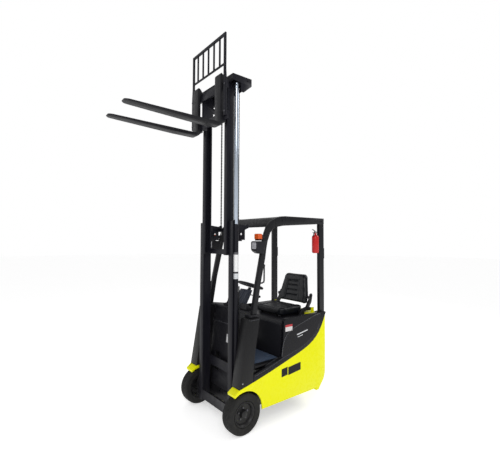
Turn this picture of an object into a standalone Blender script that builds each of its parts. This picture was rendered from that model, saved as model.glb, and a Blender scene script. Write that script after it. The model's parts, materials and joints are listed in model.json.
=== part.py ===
"""Small three-wheel counterbalance forklift, drawn with its two-stage mast raised.

Everything is in metres with +Z up. The truck faces -Y and its left side is +X.
Y is measured from the front axle line, and one empty shifts the whole truck so
that its origin lies on the ground in the middle of its overall length.
"""
import math

import bmesh
import bpy
from mathutils import Matrix, Vector

# ---------------------------------------------------------------- driving dimensions
GAP = 0.0003               # air left between pieces that touch
FORK_LENGTH = 0.920
FORK_FACE_Y = -0.1765      # front face of the fork shanks
REAR_Y = 1.1965            # rearmost point of the counterweight
AXLE_Y = -(FORK_FACE_Y - FORK_LENGTH + REAR_Y) / 2

HALF_WIDTH = 0.460         # over the body sides
GROUND_CLEARANCE = 0.180   # under the side plates
BODY_TOP = 1.000
BODY_SPLIT_Y = 0.995       # side plates in front of it, counterweight behind it

TYRE_RADIUS = 0.190
TYRE_WIDTH = 0.115
TYRE_OUTER_X = 0.463
ARCH_RADIUS = 0.210
AXLE_PLATE_X = 0.320       # inner face of the plates that carry the stub axles
DRIVE_TYRE_RADIUS = 0.165
DRIVE_TYRE_WIDTH = 0.100
STEER_Y = 0.920            # vertical steering axis of the single rear wheel

FLOOR_Z = 0.590
DASH_Z = 1.083
HOOD_Z = 0.945
HOOD_FRONT_Y = 0.500       # front face of the battery box
BATTERY_WALL_Y = 0.517     # rear face of its front wall
LID_FRONT_Y = 0.5225       # the lid swings up just behind the steering wheel rim
HOOD_HINGE = (1.100, 1.012)
SEAT_TILT = math.radians(13.0)
WHEEL_HUB = (0.425, 1.305)
WHEEL_LEAN = math.radians(20.0)

GUARD_HALF_WIDTH = 0.416
GUARD_TOP = 2.066
LEG_WIDTH = 0.040
REAR_LEG_Y = (1.110, 1.190)

MAST_PIVOT = (0.0, 0.190)
LIFT = 1.450               # stroke of the rods, half of the fork travel
FORK_TOP = 2.9616          # top of the blades with the mast raised
OUTER_TOP = 1.998
INNER_BOTTOM = 1.660
INNER_TOP = 3.454
HEAD_TOP = 3.460           # top of the crosshead, a hood that comes down over the outer mast
HEAD_HALF_WIDTH = 0.3285
CYLINDER_X = 0.286
CYLINDER_Y = 0.008
ROD_RADIUS = 0.0225
CHAIN_X = 0.160
CHAIN_FRONT_Y = 0.042
CHAIN_REAR_Y = 0.130
CHAIN_THICKNESS = 0.010
CHAIN_ANCHOR_Z = 1.9193
SHEAVE_Z = 3.400
SHEAVE_Y = (CHAIN_FRONT_Y + CHAIN_REAR_Y) / 2
SHEAVE_RADIUS = (CHAIN_REAR_Y - CHAIN_FRONT_Y - CHAIN_THICKNESS) / 2 - GAP
CARRIAGE_FACE_Y = FORK_FACE_Y + 0.0352

TILT_X = 0.200
TILT_ANCHOR = (0.430, 0.460)
TILT_EYE = (0.085, 0.500)

# ---------------------------------------------------------------- colours
LIME = (0.80, 0.86, 0.012, 1.0)
BLACK = (0.012, 0.013, 0.016, 1.0)
SOOT = (0.022, 0.023, 0.027, 1.0)
RUBBER = (0.018, 0.018, 0.018, 1.0)
STEEL = (0.62, 0.64, 0.66, 1.0)
MAT_BLUE = (0.075, 0.105, 0.15, 1.0)
RED = (0.55, 0.02, 0.015, 1.0)
AMBER = (0.85, 0.20, 0.02, 1.0)
LENS = (0.60, 0.62, 0.64, 1.0)
GREY = (0.16, 0.165, 0.17, 1.0)

for old in list(bpy.data.objects):
    bpy.data.objects.remove(old, do_unlink=True)
PARTS = bpy.data.collections.new("forklift")
GUIDES = bpy.data.collections.new("forklift_cutters")
bpy.context.scene.collection.children.link(PARTS)
bpy.context.scene.collection.children.link(GUIDES)


# ---------------------------------------------------------------- building helpers
def add(name, mesh, at=(0.0, 0.0, 0.0), turn=None):
    """Put a mesh in the parts collection."""
    obj = bpy.data.objects.new(name, mesh)
    obj.location = at
    if turn is not None:
        obj.rotation_euler = turn
    PARTS.objects.link(obj)
    return obj


def dress(obj, name, colour, roughness=0.5, metallic=0.0):
    """Name a piece and give it its own Principled material."""
    obj.name = name
    material = bpy.data.materials.new(name)
    material.use_nodes = True
    shader = material.node_tree.nodes["Principled BSDF"]
    shader.inputs["Base Color"].default_value = colour
    shader.inputs["Roughness"].default_value = roughness
    shader.inputs["Metallic"].default_value = metallic
    obj.data.materials.clear()
    obj.data.materials.append(material)
    return obj


def block(x, y, z):
    """Box between three pairs of limits."""
    size = [pair[1] - pair[0] for pair in (x, y, z)]
    centre = [(pair[0] + pair[1]) / 2 for pair in (x, y, z)]
    bm = bmesh.new()
    bmesh.ops.create_cube(bm, size=1.0, matrix=Matrix.Diagonal((*size, 1.0)))
    mesh = bpy.data.meshes.new("block")
    bm.to_mesh(mesh)
    bm.free()
    return add("block", mesh, centre)


def round_bar(start, end, radius, segments=16, end_radius=None):
    """Cylinder or cone between two points."""
    start = Vector(start)
    end = Vector(end)
    along = end - start
    bm = bmesh.new()
    bmesh.ops.create_cone(bm, cap_ends=True, segments=segments, radius1=radius,
                          radius2=radius if end_radius is None else end_radius, depth=along.length)
    mesh = bpy.data.meshes.new("bar")
    bm.to_mesh(mesh)
    bm.free()
    smooth(mesh)
    return add("bar", mesh, (start + end) / 2, along.to_track_quat("Z", "Y").to_euler())


def smooth(mesh):
    """Shade a round piece smooth and keep its edges sharp."""
    mesh.shade_smooth()
    mesh.set_sharp_from_angle(angle=math.radians(35.0))


def to_mesh(obj):
    """Turn a curve object into a welded mesh object in the same place."""
    bpy.context.view_layer.update()
    evaluated = obj.evaluated_get(bpy.context.evaluated_depsgraph_get())
    mesh = bpy.data.meshes.new_from_object(evaluated)
    bm = bmesh.new()
    bm.from_mesh(mesh)
    bmesh.ops.remove_doubles(bm, verts=bm.verts, dist=1e-6)
    bmesh.ops.recalc_face_normals(bm, faces=bm.faces)
    bm.to_mesh(mesh)
    bm.free()
    result = add(obj.name, mesh)
    result.matrix_world = obj.matrix_world.copy()
    bpy.data.objects.remove(obj, do_unlink=True)
    return result


def outline(points, low, high, turn, axis):
    """Extrude a closed flat outline from low to high along the axis it is turned to."""
    curve = bpy.data.curves.new("outline", "CURVE")
    curve.dimensions = "2D"
    curve.fill_mode = "BOTH"
    curve.extrude = (high - low) / 2
    spline = curve.splines.new("POLY")
    spline.points.add(len(points) - 1)
    for vertex, point in zip(spline.points, points):
        vertex.co = (point[0], point[1], 0.0, 1.0)
    spline.use_cyclic_u = True
    at = [0.0, 0.0, 0.0]
    at[axis] = (low + high) / 2
    return to_mesh(add("outline", curve, at, turn))


def side_outline(points, x):
    """Plate with a (Y, Z) outline, between two X limits."""
    return outline(points, x[0], x[1], (math.pi / 2, 0.0, math.pi / 2), 0)


def front_outline(points, y):
    """Plate with an (X, Z) outline, between two Y limits."""
    return outline(points, y[0], y[1], (math.pi / 2, 0.0, 0.0), 1)


def plan_outline(points, z):
    """Plate with an (X, Y) outline, between two Z limits."""
    return outline(points, z[0], z[1], (0.0, 0.0, 0.0), 2)


def tube(points, radius):
    """Bent tube through a few points, as a welded mesh."""
    curve = bpy.data.curves.new("tube", "CURVE")
    curve.dimensions = "3D"
    curve.bevel_depth = radius
    curve.bevel_resolution = 2
    curve.use_fill_caps = True
    spline = curve.splines.new("POLY")
    spline.points.add(len(points) - 1)
    for vertex, point in zip(spline.points, points):
        vertex.co = (*point, 1.0)
    result = to_mesh(add("tube", curve))
    smooth(result.data)
    return result


def turned(profile, at, turn, steps):
    """Turn an (r, z) profile about an axis; the profile runs down its outer side."""
    mesh = bpy.data.meshes.new("turned")
    closed = profile[0][0] > 0.0
    count = len(profile)
    edges = [(i, i + 1) for i in range(count - 1)]
    if closed:
        edges.append((count - 1, 0))
    mesh.from_pydata([(r, 0.0, z) for r, z in profile], edges, [])
    obj = add("turned", mesh, at, turn)
    screw = obj.modifiers.new("turn", "SCREW")
    screw.steps = steps
    screw.render_steps = steps
    screw.use_merge_vertices = True
    screw.merge_threshold = 0.00005
    screw.use_normal_calculate = True
    screw.use_smooth_shade = False
    return obj


def merge(*pieces):
    """Join separate plain meshes that do not touch into one object."""
    bpy.context.view_layer.update()
    bm = bmesh.new()
    for piece in pieces:
        piece.data.transform(piece.matrix_world)
        bm.from_mesh(piece.data)
        bpy.data.objects.remove(piece, do_unlink=True)
    mesh = bpy.data.meshes.new("merged")
    bm.to_mesh(mesh)
    bm.free()
    return add("merged", mesh)


def combine(obj, operation, *others):
    """Boolean a piece with others, which become hidden guides."""
    for other in others:
        modifier = obj.modifiers.new(operation.lower(), "BOOLEAN")
        modifier.operation = operation
        modifier.solver = "EXACT"
        modifier.object = other
        other.name = "cutter"
        other.parent = obj
        other.matrix_parent_inverse = obj.matrix_basis.inverted()
        other.hide_render = True
        other.display_type = "WIRE"
        PARTS.objects.unlink(other)
        GUIDES.objects.link(other)
    return obj


def bevel(obj, width, segments=1, angle=30.0):
    """Round the sharp edges of a piece."""
    modifier = obj.modifiers.new("bevel", "BEVEL")
    modifier.width = width
    modifier.segments = segments
    modifier.limit_method = "ANGLE"
    modifier.angle_limit = math.radians(angle)
    return obj


def arc(centre, radius, start, end, count):
    """Points on a circle between two angles in degrees."""
    steps = [math.radians(start + (end - start) * i / count) for i in range(count + 1)]
    return [(centre[0] + radius * math.cos(a), centre[1] + radius * math.sin(a)) for a in steps]


def bezier(p0, p1, p2, p3, count):
    """Points on a cubic curve, with both ends."""
    points = []
    for i in range(count + 1):
        t = i / count
        weights = ((1 - t) ** 3, 3 * t * (1 - t) ** 2, 3 * t * t * (1 - t), t ** 3)
        points.append(tuple(sum(w * p[k] for w, p in zip(weights, (p0, p1, p2, p3))) for k in (0, 1)))
    return points


def empty(name, at, parent):
    """Axis marker that moving pieces hang from."""
    marker = bpy.data.objects.new(name, None)
    marker.empty_display_size = 0.1
    PARTS.objects.link(marker)
    marker.parent = parent
    marker.location = Vector(at) - parent_place(parent)
    marker["place"] = list(at)
    return marker


def parent_place(marker):
    """Where a marker stands, in the truck's own axes."""
    return Vector(marker["place"]) if marker is not None else Vector((0.0, 0.0, 0.0))


def hang(marker, *pieces):
    """Parent pieces to a marker and keep their place."""
    for piece in pieces:
        piece.parent = marker
        piece.location = Vector(piece.location) - parent_place(marker)


# ---------------------------------------------------------------- shared body lines
def belt_line(count):
    """Edge between the lower side plates and the upper covers, from front to rear."""
    front = bezier((-0.066, 0.427), (0.16, 0.468), (0.50, 0.556), (0.72, 0.618), count)
    rear = bezier((0.72, 0.618), (0.98, 0.690), (1.06, 0.770), (1.160, 0.985), count)
    return front + rear[1:]


def belt_height(y):
    """Height of the belt line at one station."""
    line = belt_line(24)
    for (y0, z0), (y1, z1) in zip(line, line[1:]):
        if y0 <= y <= y1:
            return z0 + (z1 - z0) * (y - y0) / (y1 - y0)
    return line[-1][1]


SHIELD_REAR_Y = 0.095
TYRE_X = TYRE_OUTER_X - TYRE_WIDTH / 2
SIDES = (("left", 1.0), ("right", -1.0))


def both(sign, low, high):
    """A pair of X limits on one side of the truck, low first."""
    return (low, high) if sign > 0 else (-high, -low)


# ---------------------------------------------------------------- chassis and body
def make_chassis():
    """Two side plates with arches and fenders, tied by the battery tray and bulkheads."""
    belt = [p for p in belt_line(8) if p[0] < BODY_SPLIT_Y]
    belt.append((BODY_SPLIT_Y, belt_height(BODY_SPLIT_Y)))
    arch = arc((0.0, TYRE_RADIUS), ARCH_RADIUS, 123.0, -2.6, 16)
    plate = [(-0.118, 0.387)] + arch + [(0.30, GROUND_CLEARANCE), (BODY_SPLIT_Y, GROUND_CLEARANCE)]
    plate += belt[::-1]
    fender = [(-0.118, 0.387)] + arch[:10] + [(0.115, 0.4450), (0.030, 0.4360), (-0.055, 0.4262)]
    pieces = []
    for _, sign in SIDES:
        pieces.append(side_outline(plate, both(sign, HALF_WIDTH - 0.016, HALF_WIDTH)))
        pieces.append(side_outline(fender, both(sign, 0.342, HALF_WIDTH - 0.008)))
    inside = HALF_WIDTH - 0.010
    tray = block((-inside, inside), (0.505, 0.735), (0.245, 0.265))
    front_wall = block((-0.4242, 0.4242), (0.499, BATTERY_WALL_Y), (0.200, FLOOR_Z))
    wall_wings = block((-inside, inside), (0.500, BATTERY_WALL_Y - 0.001), (0.210, 0.540))
    rear_wall = block((-inside, inside), (0.728, 0.742), (0.220, FLOOR_Z))
    deck_hole = round_bar((0.0, STEER_Y, 0.52), (0.0, STEER_Y, 0.64), 0.0650, 24)
    deck = block((-inside, inside), (0.735, BODY_SPLIT_Y - 0.001), (0.570, FLOOR_Z - 0.001))
    combine(deck, "DIFFERENCE", deck_hole)
    y, z = TILT_ANCHOR
    lug = [(0.505, z - 0.035), (0.505, z + 0.035), (y, z + 0.016), (y - 0.016, z), (y, z - 0.016)]
    for _, sign in SIDES:
        pieces.append(side_outline(lug, both(sign, TILT_X + 0.014, TILT_X + 0.024)))
        pieces.append(round_bar((sign * (TILT_X - 0.012), y, z), (sign * (TILT_X + 0.018), y, z), 0.008, 12))
    chassis = pieces.pop(0)
    combine(chassis, "UNION", *pieces, tray, front_wall, wall_wings, rear_wall, deck)
    return dress(chassis, "chassis_frame", LIME, 0.32)


def make_counterweight():
    """Rear casting with rounded corners, a rebate for the covers and room for the drive wheel."""
    rear = [(BODY_SPLIT_Y + GAP, 0.155), (1.035, 0.155), (1.075, 0.205), (1.120, 0.255)]
    rear += bezier((1.150, 0.320), (1.185, 0.48), (REAR_Y, 0.60), (REAR_Y, 0.72), 6)
    rear += [(1.190, 0.850), (1.168, 0.975), (BODY_SPLIT_Y + GAP, 0.975)]
    weight = side_outline(rear, (-HALF_WIDTH, HALF_WIDTH))
    corner = 0.075
    plan = [(-HALF_WIDTH, 0.90), (HALF_WIDTH, 0.90)]
    plan += arc((HALF_WIDTH - corner, REAR_Y - corner), corner, 0.0, 90.0, 6)
    plan += arc((corner - HALF_WIDTH, REAR_Y - corner), corner, 90.0, 180.0, 6)
    combine(weight, "INTERSECT", plan_outline(plan, (0.10, 1.05)))
    line = [p for p in belt_line(8) if p[0] > 0.90]
    rebate = [(0.90, line[0][1])] + line + [(1.25, 0.985), (1.25, 1.05), (0.90, 1.05)]
    for _, sign in SIDES:
        combine(weight, "DIFFERENCE", side_outline(rebate, both(sign, 0.4245, 0.60)))
    well = round_bar((0.0, STEER_Y, 0.10), (0.0, STEER_Y, 0.565), 0.200, 32)
    combine(weight, "DIFFERENCE", well)
    hinge_y, hinge_z = HOOD_HINGE
    for _, sign in SIDES:
        lug = block(both(sign, 0.306, 0.320), (hinge_y - 0.02, hinge_y + 0.02), (0.965, hinge_z + 0.018))
        pin = round_bar((sign * 0.266, hinge_y, hinge_z), (sign * 0.310, hinge_y, hinge_z), 0.006, 12)
        combine(weight, "UNION", lug, pin)
    return dress(weight, "counterweight", LIME, 0.32)


def make_side_cover(name, sign):
    """Black sill and upper side panel in one moulding, along the belt line."""
    lift = 0.0006
    line = [(y, z + lift) for y, z in belt_line(8) if y > SHIELD_REAR_Y + 0.01]
    front_y = SHIELD_REAR_Y + 0.005
    points = [(front_y, belt_height(front_y) + lift)] + line
    points += [(1.160, BODY_TOP - 0.006), (1.150, BODY_TOP), (0.545, BODY_TOP)]
    points += arc((0.545, BODY_TOP - 0.045), 0.045, 110.0, 180.0, 4)
    points += [(0.480, 0.625), (0.455, 0.606), (front_y, 0.529)]
    cover = side_outline(points, both(sign, 0.4250, HALF_WIDTH))
    bevel(cover, 0.003)
    return dress(cover, name, BLACK, 0.38)


def make_floor():
    """Step plate between the leg shields and the hood, and its rubber mat."""
    plate = block((-0.4247, 0.4247), (0.1405, 0.499 - GAP), (0.570, FLOOR_Z - GAP))
    mat = block((-0.350, 0.365), (0.176, 0.4900), (FLOOR_Z, FLOOR_Z + 0.008))
    bevel(mat, 0.002)
    return dress(plate, "floor_plate", BLACK, 0.6), dress(mat, "floor_mat", MAT_BLUE, 0.8)


def make_leg_shield(name, sign):
    """Pillar cover in front of each guard leg, standing on the fender."""
    line = [(y, z + 0.0006) for y, z in belt_line(8) if y < SHIELD_REAR_Y - 0.01]
    points = line + [(SHIELD_REAR_Y, belt_height(SHIELD_REAR_Y) + 0.0006)]
    points += [(SHIELD_REAR_Y + 0.004, 0.622), (0.176, 1.0547), (0.040, 1.0547)]
    shield = side_outline(points, both(sign, 0.3350, 0.4597))
    bevel(shield, 0.008, 2)
    return dress(shield, name, BLACK, 0.42)


def make_cowl():
    """Front wall behind the mast, with slots that the tilt cylinders pass through."""
    points = [(0.088, 0.2303), (0.158, 0.930), (0.178, 1.0547), (0.192, 1.0547)]
    points += [(0.172, 0.928), (0.102, 0.2303)]
    cowl = side_outline(points, (-0.3145, 0.3145))
    wide = [(0.112, 0.470), (0.158, 0.930), (0.178, 1.0547), (0.192, 1.0547), (0.172, 0.928), (0.126, 0.470)]
    combine(cowl, "UNION", side_outline(wide, (-0.3345, 0.3345)))
    for _, sign in SIDES:
        slot = block(both(sign, TILT_X - 0.045, TILT_X + 0.045), (0.05, 0.25), (0.400, 0.585))
        combine(cowl, "DIFFERENCE", slot)
    return dress(cowl, "front_cowl", BLACK, 0.45)


def make_dash():
    """Shelf on top of the cowl and the leg shields."""
    points = [(-0.430, 0.080), (-0.340, 0.080), (-0.335, 0.170), (0.335, 0.170), (0.340, 0.080)]
    points += [(0.430, 0.080), (0.430, 0.205), (0.300, 0.300), (-0.300, 0.300), (-0.430, 0.205)]
    dash = plan_outline(points, (1.0550, DASH_Z))
    bevel(dash, 0.005)
    return dress(dash, "dash_panel", SOOT, 0.45)


# ---------------------------------------------------------------- steering and controls
def make_steering_column():
    """Moulded column cover that leans back from the dash to the hub."""
    points = [(0.172, DASH_Z + GAP), (0.318, DASH_Z + GAP), (0.424, 1.235), (0.410, 1.262)]
    points += [(0.340, 1.286), (0.315, 1.272)]
    column = side_outline(points, (-0.072, 0.072))
    bevel(column, 0.010, 2)
    axis = Vector((0.0, math.sin(WHEEL_LEAN), math.cos(WHEEL_LEAN)))
    hub = Vector((0.0, *WHEEL_HUB))
    combine(column, "UNION", round_bar(hub - axis * 0.070, hub - axis * (0.026 + GAP), 0.018, 16))
    return dress(column, "steering_column", MAT_BLUE, 0.5)


def make_steering_wheel():
    """Rim, three spokes and hub about the leaning steering axis."""
    turn = (-WHEEL_LEAN, 0.0, 0.0)
    at = (0.0, *WHEEL_HUB)
    rim_radius = 0.1365
    tube_radius = 0.0115
    circle = arc((rim_radius, 0.0), tube_radius, 90.0, -270.0, 8)[:-1]
    rim = turned(circle, at, turn, 28)
    hub = turned([(0.0, 0.012), (0.026, 0.012), (0.032, 0.0), (0.026, -0.026), (0.0, -0.026)], at, turn, 20)
    spokes = []
    for angle in (90.0, 210.0, 330.0):
        reach = Vector((math.cos(math.radians(angle)), math.sin(math.radians(angle)), 0.0))
        lean = Matrix.Rotation(-WHEEL_LEAN, 3, "X")
        inner = lean @ (reach * 0.015) + Vector(at)
        outer = lean @ (reach * rim_radius) + Vector(at)
        spokes.append(round_bar(inner, outer, 0.0085, 8))
    combine(rim, "UNION", hub, *spokes)
    return dress(rim, "steering_wheel", BLACK, 0.4)


def make_direction_lever():
    """Forward and reverse stalk on the left of the column."""
    stalk = round_bar((0.0725, 0.360, 1.215), (0.205, 0.372, 1.210), 0.0055, 10)
    knob = turned([(0.0, 0.030), (0.011, 0.027), (0.014, 0.012), (0.009, 0.0), (0.0, 0.0)],
                  (0.200, 0.372, 1.210), (0.0, math.pi / 2, 0.0), 12)
    combine(stalk, "UNION", knob)
    return dress(stalk, "direction_lever", BLACK, 0.4)


def make_control_levers():
    """Three hydraulic levers on a console, to the right of the wheel."""
    console = block((-0.205, -0.095), (0.200, 0.270), (DASH_Z + GAP, 1.105))
    for x in (-0.180, -0.150, -0.120):
        stick = round_bar((x, 0.235, 1.100), (x, 0.262, 1.195), 0.005, 8)
        knob = round_bar((x, 0.260, 1.188), (x, 0.270, 1.222), 0.010, 10, 0.014)
        combine(console, "UNION", stick, knob)
    return dress(console, "control_levers", BLACK, 0.4)


def make_display():
    """Instrument unit on the dash, to the left of the column."""
    points = [(0.200, DASH_Z + GAP), (0.285, DASH_Z + GAP), (0.270, 1.105), (0.212, 1.150), (0.200, 1.145)]
    display = side_outline(points, (0.105, 0.215))
    bevel(display, 0.004)
    return dress(display, "instrument_display", SOOT, 0.35)


def make_pedals():
    """Accelerator and brake pads on arms that share one foot bracket."""
    bracket = block((-0.230, 0.060), (0.152, 0.172), (FLOOR_Z, 0.640))
    for x0, x1, top in ((-0.225, -0.155, 0.735), (-0.035, 0.055, 0.715)):
        arm = block(((x0 + x1) / 2 - 0.007, (x0 + x1) / 2 + 0.007), (0.158, 0.180), (0.62, top - 0.006))
        points = [(0.162, top), (0.172, top + 0.006), (0.212, top - 0.075), (0.202, top - 0.081)]
        combine(bracket, "UNION", arm, side_outline(points, (x0, x1)))
    return dress(bracket, "pedals", RUBBER, 0.7)


# ---------------------------------------------------------------- hood, seat, battery
def make_battery_front():
    """Fixed front wall of the battery box, with a rounded top edge."""
    front = HOOD_FRONT_Y
    wall = [(front, FLOOR_Z + GAP), (front, HOOD_Z - 0.012), (front + 0.004, HOOD_Z - 0.004)]
    wall += [(front + 0.010, HOOD_Z), (BATTERY_WALL_Y, HOOD_Z), (BATTERY_WALL_Y, FLOOR_Z + GAP)]
    return dress(side_outline(wall, (-0.4195, 0.4195)), "battery_box_front", BLACK, 0.4)


def make_hood():
    """Battery hood: lid with a downturned rim and two arms that reach the rear hinge pins."""
    hinge_y, hinge_z = HOOD_HINGE
    rear_y = 0.986
    hood = block((-0.4195, 0.4195), (LID_FRONT_Y, rear_y), (HOOD_Z - 0.018, HOOD_Z))
    arm = [(0.900, HOOD_Z - 0.01), (0.974, HOOD_Z - 0.01)]
    arm += [(0.982, hinge_z - 0.030), (1.000, hinge_z - 0.016)]
    arm += arc(HOOD_HINGE, 0.016, -90.0, 90.0, 6)
    arm += [(0.975, hinge_z + 0.012), (0.900, HOOD_Z + 0.004)]
    for _, sign in SIDES:
        bore = round_bar((sign * 0.26, hinge_y, hinge_z), (sign * 0.31, hinge_y, hinge_z), 0.0066, 12)
        bar = side_outline(arm, both(sign, 0.268, 0.300))
        combine(bar, "DIFFERENCE", bore)
        rim = block(both(sign, 0.400, 0.4195), (LID_FRONT_Y, rear_y), (HOOD_Z - 0.045, HOOD_Z - 0.010))
        combine(hood, "UNION", bar, rim)
    return dress(hood, "battery_hood", BLACK, 0.4)


def make_seat():
    """Seat frame, cushion and back, all on the hood."""
    frame = block((-0.205, 0.205), (0.725, 0.975), (HOOD_Z + GAP, 0.9620))
    brackets = []
    for _, sign in SIDES:
        side = [(0.930, 0.947), (0.975, 0.947), (1.000, 0.983), (1.085, 0.990), (1.145, 1.075)]
        side += [(1.165, 1.160), (1.150, 1.178), (1.128, 1.170), (1.100, 1.100), (1.055, 1.030), (0.930, 1.005)]
        brackets.append(side_outline(side, both(sign, 0.2445, 0.2605)))
    ties = [block((-0.252, 0.252), (0.935, 0.970), (0.948, 0.9615))]
    combine(frame, "UNION", *ties, *brackets)
    dress(frame, "seat_frame", BLACK, 0.45)

    pad = [(0.676, 0.9625), (0.984, 0.9625), (0.990, 0.9830), (1.046, 0.9830), (1.046, 1.052), (0.676, 1.052)]
    cushion = side_outline(pad, (-0.2435, 0.2435))
    bevel(cushion, 0.018, 3, 60.0)
    dress(cushion, "seat_cushion", SOOT, 0.5)

    width = [(-0.232, 1.054), (0.232, 1.054), (0.232, 1.150), (0.182, 1.370)]
    width += [(0.154, 1.400), (-0.154, 1.400), (-0.182, 1.370), (-0.232, 1.150)]
    back = front_outline([(x, z) for x, z in width], (1.058, 1.120))
    shear = Matrix.Identity(4)
    shear[1][2] = math.tan(SEAT_TILT)
    back.data.transform(back.matrix_world)
    back.matrix_world = Matrix.Identity(4)
    back.data.transform(Matrix.Translation((0, 0, 1.054)) @ shear @ Matrix.Translation((0, 0, -1.054)))
    bevel(back, 0.018, 3, 40.0)
    dress(back, "seat_back", SOOT, 0.5)
    return frame, cushion, back


def make_battery():
    """Traction battery as one plain block in its tray."""
    return dress(block((-0.330, 0.330), (0.525, 0.722), (0.2653, 0.870)), "traction_battery", GREY, 0.6)


# ---------------------------------------------------------------- overhead guard
GUARD_JOINT_Y = 0.425      # the front legs meet the roof on this plane
LEG_BEND = [(0.225, 1.630), (0.2400, 1.705), (0.2620, 1.805), (0.2840, 1.882), (0.3120, 1.945), (0.3500, 1.993),
            (0.3860, 2.019)]


def leg_front(z):
    """Front edge of the guard leg at one height."""
    for (y0, z0), (y1, z1) in zip(LEG_BEND, LEG_BEND[1:]):
        if z0 <= z <= z1:
            return y0 + (y1 - y0) * (z - z0) / (z1 - z0)
    return LEG_BEND[0][0]


def make_guard():
    """Front legs that taper and bend into the roof, rear legs, and the roof with its slats."""
    outer = GUARD_HALF_WIDTH
    inner = outer - LEG_WIDTH
    front_leg = [(0.118, DASH_Z + GAP), (0.172, 1.386)] + LEG_BEND + [(GUARD_JOINT_Y, 2.037)]
    front_leg += [(GUARD_JOINT_Y, 1.943), (0.3860, 1.926), (0.3510, 1.884), (0.3160, 1.800), (0.2980, 1.715)]
    front_leg += [(0.2850, 1.630), (0.2260, 1.386), (0.1740, DASH_Z + GAP)]
    pieces = []
    for side, sign in SIDES:
        leg = side_outline(front_leg, both(sign, inner, outer))
        pieces.append(dress(leg, "guard_leg_front_" + side, BLACK, 0.35))
        rear = block(both(sign, inner, outer), REAR_LEG_Y, (0.9753, 1.998 - GAP))
        pieces.append(dress(rear, "guard_leg_rear_" + side, BLACK, 0.35))
    start = GUARD_JOINT_Y + GAP
    beam = [(start, 2.037), (0.465, 2.051), (0.510, 2.062), (0.560, GUARD_TOP), (1.190, GUARD_TOP)]
    beam += [(1.190, 1.998), (1.090, 1.998), (0.620, 1.972), (0.520, 1.962), (0.466, 1.953), (start, 1.943)]
    roof = side_outline(beam, (inner, outer))
    other = side_outline(beam, (-outer, -inner))
    inside = inner + 0.010
    brow = [(0.437, 1.952), (0.437, 2.036), (0.470, 2.050), (0.512, 2.060), (0.512, 2.020), (0.482, 1.985)]
    front = side_outline(brow, (-inside, inside))
    back = block((-inside, inside), (1.135, 1.186), (2.002, 2.062))
    slats = []
    count = 7
    pitch = (1.135 - 0.512) / (count + 1)
    for i in range(count):
        y = 0.512 + pitch * (i + 1)
        slats.append(block((-inside, inside), (y - 0.011, y + 0.011), (2.018, 2.058)))
    combine(roof, "UNION", front, back, other, merge(*slats))
    pieces.append(dress(roof, "guard_roof", BLACK, 0.35))
    return pieces


def make_lamps():
    """Headlamp and turn lamp in front of each front leg, and a small lamp behind each rear leg."""
    pieces = []
    for side, sign in SIDES:
        back = [(leg_front(z) - 0.001, z) for z in (1.674, 1.735, 1.801)]
        shape = [(0.196, 1.678), (0.158, 1.698), (0.145, 1.712), (0.145, 1.788), (0.157, 1.801)]
        head = side_outline(shape + back[::-1], both(sign, 0.355, 0.452))
        bevel(head, 0.004)
        pieces.append(dress(head, "headlamp_" + side, SOOT, 0.4))
        back = [(leg_front(z) - 0.001, z) for z in (1.8145, 1.845, 1.877)]
        shape = [(0.176, 1.8145), (0.176, 1.866), (0.188, 1.877)]
        turn = side_outline(shape + back[::-1], both(sign, 0.360, 0.434))
        bevel(turn, 0.004)
        pieces.append(dress(turn, "turn_lamp_" + side, AMBER, 0.25))
        tail = block(both(sign, 0.376, 0.416), (REAR_LEG_Y[1] + GAP, REAR_LEG_Y[1] + 0.0063), (1.600, 1.720))
        pieces.append(dress(tail, "tail_lamp_" + side, RED, 0.3))
    return pieces


def make_grab_handle():
    """Entry handle on the rear of the left front leg."""
    path = [(0.388, 0.2703, 1.560), (0.388, 0.288, 1.560), (0.374, 0.308, 1.556), (0.358, 0.318, 1.540)]
    path += [(0.356, 0.318, 1.400), (0.372, 0.300, 1.385), (0.388, 0.262, 1.380), (0.388, 0.2271, 1.380)]
    return dress(tube(path, 0.008), "grab_handle", BLACK, 0.4)


def make_extinguisher():
    """Extinguisher with its valve, in a bracket on the left rear leg."""
    x = GUARD_HALF_WIDTH - LEG_WIDTH / 2
    y = REAR_LEG_Y[0] - 0.047
    profile = [(0.0, 1.905), (0.012, 1.905), (0.014, 1.885), (0.032, 1.872), (0.040, 1.850), (0.040, 1.672)]
    profile += [(0.036, 1.664), (0.0, 1.664)]
    body = turned(profile, (x, y, 0.0), (0.0, 0.0, 0.0), 20)
    head = block((x - 0.014, x + 0.014), (y - 0.016, y + 0.014), (1.895, 1.918))
    lever = side_outline([(y - 0.052, 1.938), (y + 0.016, 1.912), (y + 0.016, 1.924), (y - 0.050, 1.950)],
                         (x - 0.008, x + 0.008))
    bracket = block((x - 0.016, x + 0.016), (y + 0.030, REAR_LEG_Y[0] - GAP), (1.740, 1.790))
    combine(body, "UNION", head, lever, bracket)
    return dress(body, "fire_extinguisher", RED, 0.25)


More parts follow.
